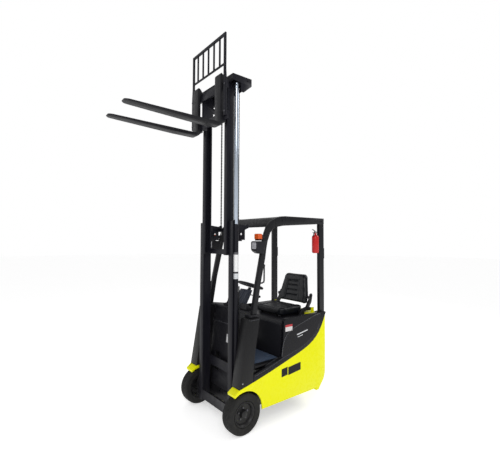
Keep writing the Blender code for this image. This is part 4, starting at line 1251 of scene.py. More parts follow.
@dataclass
class Extinguisher:
    """Extinguisher: bottle with its neck, two holders, valve with levers, and hose."""

    node: str = "fire_extinguisher"

    def build(self) -> None:
        """Build the bottle and what is on it."""
        low, high = box(self.node)
        x = (low.x + high.x) / 2
        r = (high.x - low.x) / 2
        y = high.y - 0.0467
        z0 = low.z
        turn = np.linspace(0.0, math.pi / 2, 8)
        shoulder = [(r * math.cos(t) * 0.999, 0.182 + 0.030 * math.sin(t)) for t in turn[:-1]]
        profile = [(0.0, 0.004), (r - 0.012, 0.0), (r - 0.003, 0.006), (r, 0.014)] + shoulder
        profile += [(0.014, 0.215), (0.014, 0.232), (0.0, 0.232)]
        fit(lathe("extinguisher_bottle", profile, (x, y, z0), (0, 0, 1), 40, False), self.node, RED)
        for number, level in enumerate((0.045, 0.165)):
            hold = slab(f"extinguisher_hold_{number}", (x - 0.012, x + 0.012),
                        (y + r - 0.002, high.y),
                        (z0 + level, z0 + level + 0.014), 0.001)
            join_to(hold, self.node, BLACK_PAINT)
        valve = slab("extinguisher_valve", (x - 0.011, x + 0.011), (y - 0.014, y + 0.014),
                     (z0 + 0.226, z0 + 0.250),
                     0.003)
        join_to(valve, self.node, ZINC)
        for number, (start, end) in enumerate((((0.010, 0.246), (-0.050, 0.272)),
                                               ((0.010, 0.232), (-0.045, 0.236)))):
            path = smooth_path([(x, y + start[0], z0 + start[1]), (x, y + end[0], z0 + end[1])], 6)
            lever = sweep(f"extinguisher_lever_{number}", path,
                          np.array([(-0.002, -0.008), (0.002, -0.008),
                                                                         (0.002, 0.008),
                                                                          (-0.002, 0.008)]))
            join_to(lever, self.node, BLACK_PAINT)
        hose = sweep("extinguisher_hose", smooth_path([
            (x + 0.004, y - 0.010, z0 + 0.236), (x + 0.010, y - 0.030, z0 + 0.236),
            (x + 0.012, y - 0.043, z0 + 0.222), (x + 0.012, y - 0.045, z0 + 0.190)], 24),
                     ring_section(0.0042, 10))
        join_to(hose, self.node, HOSE)


# ---------------------------------------------------------------- mast and load side
@dataclass
class Mast:
    """Uprights, cylinders, chains, sheaves and the load side."""

    edge: float = 0.0016
    link_pitch: float = 0.0159

    def build(self) -> None:
        """Build every mast and carriage piece."""
        soften("outer_mast", MAST_PAINT, self.edge, 2, 50.0)
        soften("inner_mast", MAST_PAINT, self.edge, 2, 50.0)
        soften("fork_carriage", MAST_PAINT, 0.002, 2, 50.0)
        soften("load_backrest", MAST_PAINT, 0.002, 2)
        for side, sign in SIDES:
            self.blade("fork_" + side)
            self.cylinder(side)
            self.rear_chain(side)
            self.front_chain(side)
            self.tilt(side)
            self.fork_lock(side)
            self.hose(side, sign)
        self.sheaves()
        self.bolts()

    def cylinder(self, side: str) -> None:
        """Lift cylinder: barrel with foot and gland rings, blank labels, and its chromed rod.

        Args:
            side: Side of the truck, left or right.
        """
        barrel = "lift_cylinder_" + side
        low, high = box(barrel)
        centre = middle(barrel)
        r = (high.x - low.x) / 2
        bore = 0.0233
        height = high.z - low.z
        profile = [(bore, 0.02), (r - 0.004, 0.0), (r - 0.001, 0.004), (r - 0.001, 0.030),
                   (r - 0.002, 0.034)]
        profile += [(r - 0.0022, height - 0.052), (r - 0.0004, height - 0.048), (r, height - 0.044)]
        profile += [(r, height - 0.010), (r - 0.001, height - 0.006), (r - 0.0035, height),
                    (bore + 0.0005, height)]
        tube = lathe("lift_barrel_" + side, profile, (centre.x, centre.y, low.z), (0, 0, 1), 40)
        fit(tube, barrel, MAST_PAINT)
        rings = ((1.500, 1.690, (0.78, 0.78, 0.78)), (1.430, 1.490, (0.60, 0.62, 0.64)))
        for number, (z0, z1, colour) in enumerate(rings):
            sheet = lathe(f"cylinder_label_{number}_{side}",
                          [(r - 0.0021, z0), (r - 0.0016, z0), (r - 0.0016, z1),
                                                              (r - 0.0021, z1)],
                          (centre.x, centre.y, 0), (0, 0, 1), 40)
            finish = SheetFinish(f"cylinder_print_{number}", colour, low=z0, high=z1,
                                 band=(0.08, 0.08, 0.09),
                                 band_share=0.12)
            join_to(sheet, barrel, finish)
        rod = "lift_rod_" + side
        low_rod, high_rod = box(rod)
        rr = (high_rod.x - low_rod.x) / 2
        length = high_rod.z - low_rod.z
        profile = [(0.0, 0.0), (rr - 0.002, 0.0), (rr, 0.003), (rr, length - 0.030),
                   (rr - 0.003, length - 0.027)]
        profile += [(rr - 0.003, length), (0.0, length)]
        shaft = lathe("chromed_rod_" + side, profile, (centre.x, centre.y, low_rod.z), (0, 0, 1),
                      48, False)
        fit(shaft, rod, CHROME)

    def links(self, name: str, x: float, y: float, low: float, high: float) -> bpy.types.Object:
        """Leaf chain along Z: rows of plates, each a pitch off the next, and a pin per pitch.

        Args:
            name: Piece name.
            x: Middle of the chain across the truck.
            y: Middle of the chain along the truck.
            low: Lower end.
            high: Upper end.

        Returns:
            The chain as one piece.
        """
        half = 0.0046
        sides = 10
        t = np.linspace(0.0, 2 * math.pi, sides, endpoint=False)
        count = max(int((high - low) / self.link_pitch) - 1, 2)
        rise = np.where(np.sin(t) >= 0.0, self.link_pitch, 0.0)
        plate_y = half * np.cos(t)
        plate_z = half * 0.9 * np.sin(t) + rise
        blocks = []
        for row, (x0, x1) in enumerate(((-0.0085, -0.0052), (-0.0048, -0.0018), (-0.0015, 0.0015),
                                        (0.0018, 0.0048), (0.0052, 0.0085))):
            start = low + half + (row % 2) * self.link_pitch
            levels = start + np.arange(0, count - (row % 2), 2) * self.link_pitch
            ring = np.stack((np.zeros(sides), plate_y, plate_z), -1)
            near = ring[None] + np.stack((np.full(len(levels), x + x0), np.full(len(levels), y),
                                          levels), -1)[:, None]
            far = near + np.array((x1 - x0, 0.0, 0.0))
            blocks.append(np.concatenate((near, far), 1))
        pins_z = low + half + np.arange(count + 1) * self.link_pitch
        ring = np.stack((np.zeros(sides), 0.0024 * np.cos(t), 0.0024 * np.sin(t)), -1)
        near = ring[None] + np.stack((np.full(len(pins_z), x - 0.0095), np.full(len(pins_z), y),
                                      pins_z), -1)[:, None]
        blocks.append(np.concatenate((near, near + np.array((0.019, 0.0, 0.0))), 1))
        solids = np.concatenate(blocks)
        k = np.arange(sides)
        after = np.roll(k, -1)
        walls = np.stack((k, after, after + sides, k + sides), -1)
        starts = np.arange(len(solids)) * 2 * sides
        faces = (starts[:, None, None] + walls[None]).reshape(-1, 4).tolist()
        faces += (starts[:, None] + k[None,
                                      ::-1]).tolist() + (starts[:, None] + sides + k[None]).tolist()
        return put(name, solids.reshape(-1, 3), faces, 25.0)

    def rear_chain(self, side: str) -> None:
        """Rear run, which shortens towards its anchor as the mast comes down.

        Args:
            side: Side of the truck, left or right.
        """
        node = "chain_rear_" + side
        low, high = box(node)
        centre = middle(node)
        run = self.links("rear_run_" + side, centre.x, centre.y, low.z, high.z)
        fit(run, node, CHAIN)
        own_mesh(run)
        nut = lathe("chain_anchor_" + side,
                    [(0.0, -0.050), (0.006, -0.050), (0.006, -0.022), (0.011, -0.022),
                                             (0.011, -0.019), (0.0, -0.019)],
                    (centre.x, centre.y, low.z), (0, 0, 1),
                    12, False)
        join_to(nut, "outer_mast", ZINC)

    def front_chain(self, side: str) -> None:
        """Front run, which lengthens between sheave and carriage, and the turn over the sheave.

        Args:
            side: Side of the truck, left or right.
        """
        node = "chain_front_" + side
        low, high = box(node)
        centre = middle(node)
        levels = np.linspace(low.z, high.z, 60)
        half_x = 0.0085 - 0.0010 * (np.arange(60) % 2)
        thick = 0.0044
        corners = np.array([(-1, -1), (1, -1), (1, 1), (-1, 1)])
        points = np.zeros((60, 4, 3))
        points[..., 0] = centre.x + half_x[:, None] * corners[:, 0]
        points[..., 1] = centre.y + thick * corners[:, 1]
        points[..., 2] = levels[:, None]
        run = grid("front_run_" + side, capped(points, points.mean(1)), False, True, 30.0)
        WARDROBE.wear(run, CHAIN)
        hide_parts(node)
        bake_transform(run)
        rear = middle("chain_rear_" + side)
        sheave = middle("chain_sheaves")
        radius = (rear.y - centre.y) / 2
        angle = np.linspace(0.0, math.pi, 40)
        path = np.stack((np.full(40, centre.x), sheave.y + radius * np.cos(angle),
                         sheave.z + radius * np.sin(angle)), -1)
        half = 0.0085 - 0.0012 * (np.arange(40) % 2)
        normal = np.stack((np.zeros(40), np.cos(angle), np.sin(angle)), -1)
        section = corners[None, :, :1] * half[:, None, None] * np.array((1.0, 0, 0))
        points = path[:, None] + section + corners[None, :, 1:] * thick * normal[:, None]
        turn = grid("chain_turn_" + side, capped(points, points.mean(1)), False, True, 30.0)
        join_to(turn, "chain_sheaves", CHAIN)

    def sheaves(self) -> None:
        """Grooved chain wheels on their shaft."""
        low, high = box("chain_sheaves")
        centre = middle("chain_sheaves")
        shaft = lathe("sheave_shaft",
                      [(0.0, low.x), (0.0108, low.x), (0.0108, high.x), (0.0, high.x)],
                      (0.0, centre.y, centre.z), (1, 0, 0), 24, False)
        fit(shaft, "chain_sheaves", ZINC)
        r = (high.z - low.z) / 2
        for side, _ in SIDES:
            x = middle("chain_front_" + side).x
            profile = [(0.0112, -0.012), (0.020, -0.012), (0.022, -0.009), (r - 0.008, -0.009),
                       (r - 0.006, -0.0105)]
            profile += [(r, -0.0105), (r, 0.0105), (r - 0.006, 0.0105), (r - 0.008, 0.009),
                        (0.022, 0.009)]
            profile += [(0.020, 0.012), (0.0112, 0.012)]
            wheel = lathe("sheave_" + side, profile, (x, centre.y, centre.z), (1, 0, 0), 40)
            join_to(wheel, "chain_sheaves", ZINC)

    def tilt(self, side: str) -> None:
        """Tilt cylinder and rod in their finishes."""
        soften("tilt_cylinder_" + side, BLACK_PAINT, 0.001, 2, 40.0)
        WARDROBE.node(CHROME, "tilt_rod_" + side)

    def blade(self, node: str) -> None:
        """Fork with a rounded tip: half width w (1 - u^2.5 / 2.2), u rising to 1 at the tip.

        Args:
            node: Carried-over piece.
        """
        low, high = box(node)
        obj = copied(node, node + "_shell")
        mesh = bmesh.new()
        mesh.from_mesh(obj.data)
        reach = 0.050
        for share in (1.0, 0.75, 0.5, 0.3, 0.15):
            whole = mesh.verts[:] + mesh.edges[:] + mesh.faces[:]
            bmesh.ops.bisect_plane(mesh, geom=whole, plane_co=(0, low.y + reach * share, 0),
                                   plane_no=(0, 1, 0))
        mesh.to_mesh(obj.data)
        mesh.free()
        points = vertices(obj)
        centre = (low.x + high.x) / 2
        u = np.clip(1.0 - (points[:, 1] - low.y) / reach, 0.0, 1.0)
        points[:, 0] = centre + (points[:, 0] - centre) * (1.0 - u**2.5 / 2.2)
        set_vertices(obj, points)
        obj.data.shade_smooth()
        round_edges(obj, 0.0025, 2, 35.0)
        fit(obj, node, FORK_PAINT)

    def fork_lock(self, side: str) -> None:
        """Lock pin with a wide head on the hook of each fork.

        Args:
            side: Side of the truck, left or right.
        """
        low, high = box("fork_" + side)
        centre = (low.x + high.x) / 2
        y = high.y - 0.020
        pin = lathe("fork_lock_" + side,
                    [(0.0, 0.0), (0.010, 0.0), (0.010, 0.012), (0.006, 0.016), (0.006, 0.030),
                                          (0.009, 0.034), (0.009, 0.042), (0.0, 0.044)],
                    (centre, y, high.z - 0.052), (0, 0, 1), 20, False)
        join_to(pin, "fork_" + side, DARK_ZINC)

    def hose(self, side: str, sign: float) -> None:
        """Pressure hose from the cylinder foot up behind the cylinder.

        Args:
            side: Side of the truck, left or right.
            sign: 1 on the left, -1 on the right.
        """
        low, high = box("lift_cylinder_" + side)
        centre = middle("lift_cylinder_" + side)
        x = centre.x - sign * 0.020
        path = smooth_path([(centre.x, high.y - 0.002, low.z + 0.06),
                            (centre.x, high.y + 0.018, low.z + 0.062),
                            (x, high.y + 0.030, low.z + 0.12), (x, high.y + 0.028, low.z + 0.60),
                            (x, high.y + 0.028, low.z + 1.10)], 50)
        join_to(sweep("lift_hose_" + side, path, ring_section(0.006, 10)), "outer_mast", HOSE)

    def bolts(self) -> None:
        """Bolts on the crosshead, the bottom tie, the brackets and the carriage."""
        low, high = box("inner_mast")
        top = [(x, y, high.z) for x in (-0.27, -0.10, 0.10, 0.27) for y in (low.y + 0.030,
                                                                            high.y - 0.030)]
        join_to(studs("crosshead_bolts", np.array(top), (0, 0, 1), 0.010, 0.006), "inner_mast",
                BLACK_PAINT)
        for side, sign in SIDES:
            face = outer_face("inner_mast", sign)
            places = np.array([(face, low.y + 0.040, high.z - 0.040),
                               (face, low.y + 0.190, high.z - 0.030),
                               (face, low.y + 0.040, high.z - 0.110)])
            join_to(studs("cheek_bolts_" + side, places, (sign, 0, 0), 0.008, 0.0045), "inner_mast",
                    BLACK_PAINT)
            outer = outer_face("outer_mast", sign)
            places = np.array([(outer, -0.080, 0.215), (outer, -0.015, 0.215)])
            join_to(studs("foot_bolts_" + side, places, (sign, 0, 0), 0.008, 0.0045), "outer_mast",
                    BLACK_PAINT)
        rest_low, rest_high = box("load_backrest")
        places = np.array([(x, rest_low.y, z) for x in (rest_low.x + 0.014, rest_high.x - 0.014)
                           for z in (rest_low.z + 0.040, rest_low.z + 0.310)])
        join_to(studs("backrest_bolts", places, (0, -1, 0), 0.010, 0.007), "load_backrest",
                DARK_ZINC)


# ---------------------------------------------------------------- wheels
@dataclass
class Wheel:
    """One wheel: a solid tyre with a shallow tread on a bolted steel rim.

    Attributes:
        node: Carried-over wheel.
        outward: Direction of its outer face along X.
        pitches: Tread blocks round the tyre.
        bolts: Wheel bolts.
        groove: Depth of the tread.
    """

    node: str
    outward: float
    pitches: int = 30
    bolts: int = 5
    groove: float = 0.0042

    def build(self) -> None:
        """Build tyre, rim, hub cap and bolts."""
        low, high = box(self.node)
        centre = middle(self.node)
        radius = (high.z - low.z) / 2
        half = (high.x - low.x) / 2
        fit(self.tyre(centre, radius, half), self.node, TREAD)
        scale = radius / 0.190
        join_to(self.rim(centre, half, scale), self.node, RIM)
        turn = np.linspace(0.0, 2 * math.pi, self.bolts, endpoint=False) + 0.3
        circle = 0.052 * scale
        places = np.stack((np.full(self.bolts, centre.x + self.outward * (half - 0.040)),
                           centre.y + circle * np.cos(turn), centre.z + circle * np.sin(turn)), -1)
        join_to(studs(self.node + "_bolts", places, (self.outward, 0, 0), 0.0105 * scale, 0.009),
                self.node, DARK_ZINC)
        inner = centre.x - self.outward * (half - 0.010)
        hub = lathe(self.node + "_bearing",
                    [(0.0206, -0.004), (0.044 * scale, -0.004), (0.044 * scale, 0.006),
                                             (0.036 * scale, 0.008), (0.030 * scale, 0.003),
                                             (0.0206, 0.003)],
                    (inner, centre.y, centre.z), (-self.outward, 0, 0), 32)
        join_to(hub, self.node, ZINC)

    def tyre(self, centre: Vector, radius: float, half: float) -> bpy.types.Object:
        """Tyre: a closed profile turned about X, its tread cut by slanting grooves.

        The radius on the tread falls by the groove depth where the phase
        n t / 2 pi + 1.1 |s| is close to a half, t being the angle and s the place across.

        Args:
            centre: Wheel centre.
            radius: Outer radius.
            half: Half width.

        Returns:
            The tyre.
        """
        steps = self.pitches * 10
        bead = radius * 0.62
        across = np.linspace(-1.0, 1.0, 23)
        crown = radius - 0.0025 * across**2
        tread = np.stack((crown, across * (half - 0.016)), -1)
        arc = np.linspace(0.15, math.pi / 2, 5)
        shoulder = np.stack((radius - 0.0025 - 0.016 * (1 - np.cos(arc)),
                             half - 0.016 + 0.016 * np.sin(arc)), -1)
        wall = np.array([(radius - 0.034, half - 0.0008), (radius - 0.040, half - 0.0028),
                         (bead + 0.016, half - 0.002),
                         (bead + 0.004, half - 0.006), (bead, half - 0.014)])
        flip = np.array((1.0, -1.0))
        right = np.concatenate((shoulder, wall))
        profile = np.concatenate((tread, right, (right * flip)[::-1]))
        t = np.linspace(0.0, 2 * math.pi, steps, endpoint=False)
        r = np.repeat(profile[None, :, 0], steps, 0)
        s = profile[:, 1] / (half - 0.016)
        phase = (self.pitches * t[:, None] / (2 * math.pi) + 1.1 * np.abs(s)[None]) % 1.0
        cut = np.clip((0.16 - np.abs(phase - 0.5)) / 0.07, 0.0, 1.0)
        edge = np.clip((np.abs(s) - 0.30) / 0.15, 0.0, 1.0) * (np.abs(s) <= 1.01)
        ring = np.clip((0.07 - np.abs(np.abs(s) - 0.22)) / 0.03, 0.0, 1.0)
        r -= self.groove * np.maximum(cut * edge[None], ring[None])
        x = np.repeat(profile[None, :, 1], steps, 0)
        points = np.stack((centre.x + x, centre.y + r * np.cos(t)[:, None],
                           centre.z + r * np.sin(t)[:, None]), -1)
        return grid(self.node + "_tyre", points, True, True, 40.0)

    def rim(self, centre: Vector, half: float, scale: float) -> bpy.types.Object:
        """Rim: a dished disc with a raised hub cap, open behind for the stub axle.

        Args:
            centre: Wheel centre.
            half: Half width.
            scale: Size against a tyre radius of 0.19 m.

        Returns:
            The new object.
        """
        bead = 0.1178 * scale
        bore = 0.0206
        profile = [(bore, -half + 0.006), (0.050 * scale, -half + 0.006),
                   (0.056 * scale, half - 0.062)]
        profile += [(0.092 * scale, half - 0.062), (0.100 * scale, -half + 0.012),
                    (bead - 0.002, -half + 0.008)]
        profile += [(bead, -half + 0.014), (bead, half - 0.014), (bead - 0.003, half - 0.008)]
        profile += [(bead - 0.009, half - 0.008), (0.098 * scale, half - 0.016),
                    (0.090 * scale, half - 0.038)]
        profile += [(0.070 * scale, half - 0.042), (0.040 * scale, half - 0.040),
                    (0.034 * scale, half - 0.030)]
        profile += [(0.032 * scale, half - 0.012), (0.027 * scale, half - 0.009),
                    (0.0, half - 0.008)]
        profile += [(0.0, half - 0.012), (bore, half - 0.014)]
        profile = [(r, h * self.outward) for r, h in profile]
        return lathe(self.node + "_rim", profile, centre, (1, 0, 0), 56)


@dataclass
class Running:
    """Wheels, axle frame and drive unit."""

    def build(self) -> None:
        """Build every running piece."""
        for side, sign in SIDES:
            Wheel("front_wheel_" + side, sign).build()
        Wheel("drive_wheel", -1.0, pitches=26, bolts=5).build()
        soften("front_axle", BLACK_PAINT, 0.002, 2, 50.0)
        soften("drive_unit", BLACK_PAINT, 0.003, 2, 40.0)
        centre = middle("drive_wheel")
        turn = np.linspace(0.0, 2 * math.pi, 10, endpoint=False)
        places = np.stack((centre.x + 0.134 * np.cos(turn), centre.y + 0.134 * np.sin(turn),
                           np.full(10, 0.564)), -1)
        join_to(studs("ring_bolts", places, (0, 0, 1), 0.007, 0.0025), "drive_unit", ZINC)


# ---------------------------------------------------------------- seat
@dataclass
class Seat:
    """Sprung seat: stuffed cushion and back with sewn channels, on their frame.

    Attributes:
        voxel: Remesh size before the cloth is inflated.
        pressure: Pressure inside the cloth.
        cap: Furthest that a point may move.
        frames: Steps of the inflation.
    """

    voxel: float = 0.0055
    pressure: float = 4.0
    cap: float = 0.008
    frames: int = 20

    def build(self) -> None:
        """Build cushion, back and frame details."""
        self.cushion()
        self.back()
        soften("seat_frame", BLACK_PAINT, 0.003, 2)
        self.fittings()

    def inflate(self, obj: bpy.types.Object) -> None:
        """Remesh a closed form, fill it with air as cloth, cap the movement and apply it.

        Args:
            obj: Plain closed form at the origin.
        """
        remesh = obj.modifiers.new("skin", "REMESH")
        remesh.mode = "VOXEL"
        remesh.voxel_size = self.voxel
        apply_modifiers(obj)
        rest = vertices(obj)
        cloth = obj.modifiers.new("cover", "CLOTH")
        cloth.settings.use_pressure = True
        cloth.settings.uniform_pressure_force = self.pressure
        cloth.settings.effector_weights.gravity = 0.0
        cloth.settings.quality = 4
        cloth.point_cache.frame_start = 1
        cloth.point_cache.frame_end = self.frames
        for frame in range(1, self.frames + 1):
            bpy.context.scene.frame_set(frame)
        apply_modifiers(obj)
        moved = vertices(obj) - rest
        length = np.linalg.norm(moved, axis=1, keepdims=True)
        set_vertices(obj, rest + moved * np.minimum(1.0, self.cap / np.maximum(length, 1e-9)))
        bpy.context.scene.frame_set(1)
        obj.data.shade_smooth()

    def channels(self, obj: bpy.types.Object, across: np.ndarray, facing: np.ndarray,
                 lines: Sequence[float],
                 depth: float, width: float, direction: Sequence[float], mask: np.ndarray) -> None:
        """Press sewn lines into one face: p -= d depth exp(-((s - line) / width)^2) on that face.

        Args:
            obj: The stuffed piece.
            across: Place of each vertex across the lines.
            facing: How far each vertex lies on the pressed face, 0 to 1.
            lines: Places of the lines.
            depth: Depth of a line.
            width: Half width of a line.
            direction: Outward direction of the face.
            mask: Where the lines run, 0 to 1.
        """
        press = sum(np.exp(-(((across - line) / width) ** 2)) for line in lines)
        points = vertices(obj) - np.outer(np.minimum(press, 1.0) * facing * mask * depth,
                                          np.array(direction))
        set_vertices(obj, points)

    def cushion(self) -> None:
        """Seat cushion: higher at the rear and sides, with cross channels between two long ones."""
        low, high = box("seat_cushion")
        outline = [(low.x + 0.050, low.y + 0.006), (high.x - 0.050, low.y + 0.006),
                   (high.x - 0.008, low.y + 0.050)]
        outline += [(high.x - 0.003, high.y - 0.060), (high.x - 0.035, high.y - 0.008)]
        outline += [(low.x + 0.035, high.y - 0.008), (low.x + 0.003, high.y - 0.060),
                    (low.x + 0.008, low.y + 0.050)]
        obj = prism("stuffed_cushion", outline, (low.z + 0.004, high.z - 0.012), Plane.PLAN, 0.014,
                    3)
        apply_modifiers(obj)
        self.inflate(obj)
        points = vertices(obj)
        x = np.abs(points[:, 0])
        y = (points[:, 1] - low.y) / (high.y - low.y)
        top = np.clip((points[:, 2] - (low.z + 0.030)) / 0.030, 0.0, 1.0)
        points[:, 2] += top * (0.006 * np.clip((x - 0.10) / 0.08, 0.0,
                                               1.0) * (1 - y * 0.4) + 0.005 * y**2 - 0.003)
        set_vertices(obj, points)
        inner = np.clip((0.128 - np.abs(points[:, 0])) / 0.008, 0.0, 1.0)
        step = (high.y - low.y) / 6
        lines = [low.y + step * k for k in (1.4, 2.4, 3.4, 4.4)]
        self.channels(obj, points[:, 1], top, lines, 0.0075, 0.0055, (0, 0, 1), inner)
        length_mask = np.clip((points[:, 1] - low.y - 0.035) / 0.02, 0, 1)
        self.channels(obj, points[:, 0], top, (-0.132, 0.132), 0.0070, 0.0055, (0, 0, 1),
                      length_mask)
        fit(obj, "seat_cushion", VINYL)
        subdivide(obj)

    def back(self) -> None:
        """Seat back: tapering pad, bolsters round a pressed panel with four short grooves."""
        low, high = box("seat_back")
        lean = math.radians(13.0)
        obj = copied("seat_back", "stuffed_back")
        centre = (low + high) / 2
        shrink = Matrix.Translation(centre) @ Matrix.Diagonal((0.995, 0.94, 0.985,
                                                               1.0)) @ Matrix.Translation(-centre)
        obj.data.transform(shrink)
        self.inflate(obj)
        points = vertices(obj)
        depth = points[:, 1] - (low.y + 0.040 + (points[:, 2] - low.z) * math.tan(lean))
        front = np.clip((0.004 - depth) / 0.022, 0.0, 1.0)
        s = (points[:, 2] - low.z) / (high.z - low.z)
        width = 0.118 - 0.030 * s
        inside = np.clip((width - np.abs(points[:, 0])) / 0.010, 0.0,
                         1.0) * np.clip((0.80 - s) / 0.03, 0, 1)
        inside *= np.clip((s - 0.10) / 0.03, 0, 1)
        outward = (0.0, -math.cos(lean), math.sin(lean))
        set_vertices(obj, points - np.outer(front * inside * 0.006, np.array(outward)))
        border = np.exp(-(((np.abs(points[:, 0]) - width
                            - 0.008) / 0.004) ** 2)) * (s < 0.82) * (s > 0.08)
        set_vertices(obj, vertices(obj) - np.outer(front * border * 0.004, np.array(outward)))
        short = np.clip((width - 0.016 - np.abs(points[:, 0])) / 0.010, 0.0, 1.0)
        lines = [low.z + f * (high.z - low.z) for f in (0.25, 0.42, 0.59, 0.74)]
        self.channels(obj, points[:, 2], front, lines, 0.010, 0.0075, outward, short)
        fit(obj, "seat_back", VINYL)
        subdivide(obj)

    def fittings(self) -> None:
        """Bolts on the brackets, slide rails, hinges of the back and a tilt knob."""
        low, high = box("seat_frame")
        for side, sign in SIDES:
            face = outer_face("seat_frame", sign)
            places = np.array([(face, high.y - 0.060, high.z - 0.055),
                               (face, low.y + 0.240, low.z + 0.035)])
            join_to(studs("bracket_bolts_" + side, places, (sign, 0, 0), 0.010, 0.006),
                    "seat_frame", DARK_ZINC)
            rail = slab("seat_rail_" + side, rising(sign * 0.150, sign * 0.186),
                        (low.y - 0.020, low.y + 0.245),
                        (low.z + 0.002, low.z + 0.018), 0.003)
            join_to(rail, "seat_frame", DARK_ZINC)
            hinge = lathe("back_hinge_" + side,
                          [(0.0, 0.0), (0.017, 0.0), (0.017, 0.058), (0.013, 0.062), (0.0, 0.062)],
                          (sign * 0.200, 1.103 + AXLE, 1.135), (sign, 0, 0), 28, False)
            join_to(hinge, "seat_frame", PLASTIC)
        knob = lathe("tilt_knob",
                     [(0.0, 0.030), (0.012, 0.030), (0.019, 0.024), (0.020, 0.006), (0.014, 0.0),
                                   (0.0, 0.0)], (low.x, high.y - 0.130, low.z + 0.075), (-1, 0, 0),
                     28, False)
        join_to(knob, "seat_frame", PLASTIC)


def vertices(obj: bpy.types.Object) -> np.ndarray:
    """Vertices of a mesh as an array.

    Args:
        obj: The piece.

    Returns:
        Array of points.
    """
    flat = np.empty(len(obj.data.vertices) * 3)
    obj.data.vertices.foreach_get("co", flat)
    return flat.reshape(-1, 3)


def set_vertices(obj: bpy.types.Object, points: np.ndarray) -> None:
    """Write an array back into a mesh."""
    obj.data.vertices.foreach_set("co", points.ravel())
    obj.data.update()


def apply_modifiers(obj: bpy.types.Object) -> None:
    """Turn the modifiers' result into the piece's own mesh.

    Args:
        obj: The piece.
    """
    bpy.context.view_layer.update()
    evaluated = obj.evaluated_get(bpy.context.evaluated_depsgraph_get())
    mesh = bpy.data.meshes.new_from_object(evaluated)
    old = obj.data
    obj.modifiers.clear()
    obj.data = mesh
    bpy.data.meshes.remove(old)


def subdivide(obj: bpy.types.Object) -> None:
    """One level of smooth subdivision.

    Args:
        obj: The piece.
    """
    modifier = obj.modifiers.new("smooth", "SUBSURF")
    modifier.levels = 1
    modifier.render_levels = 1


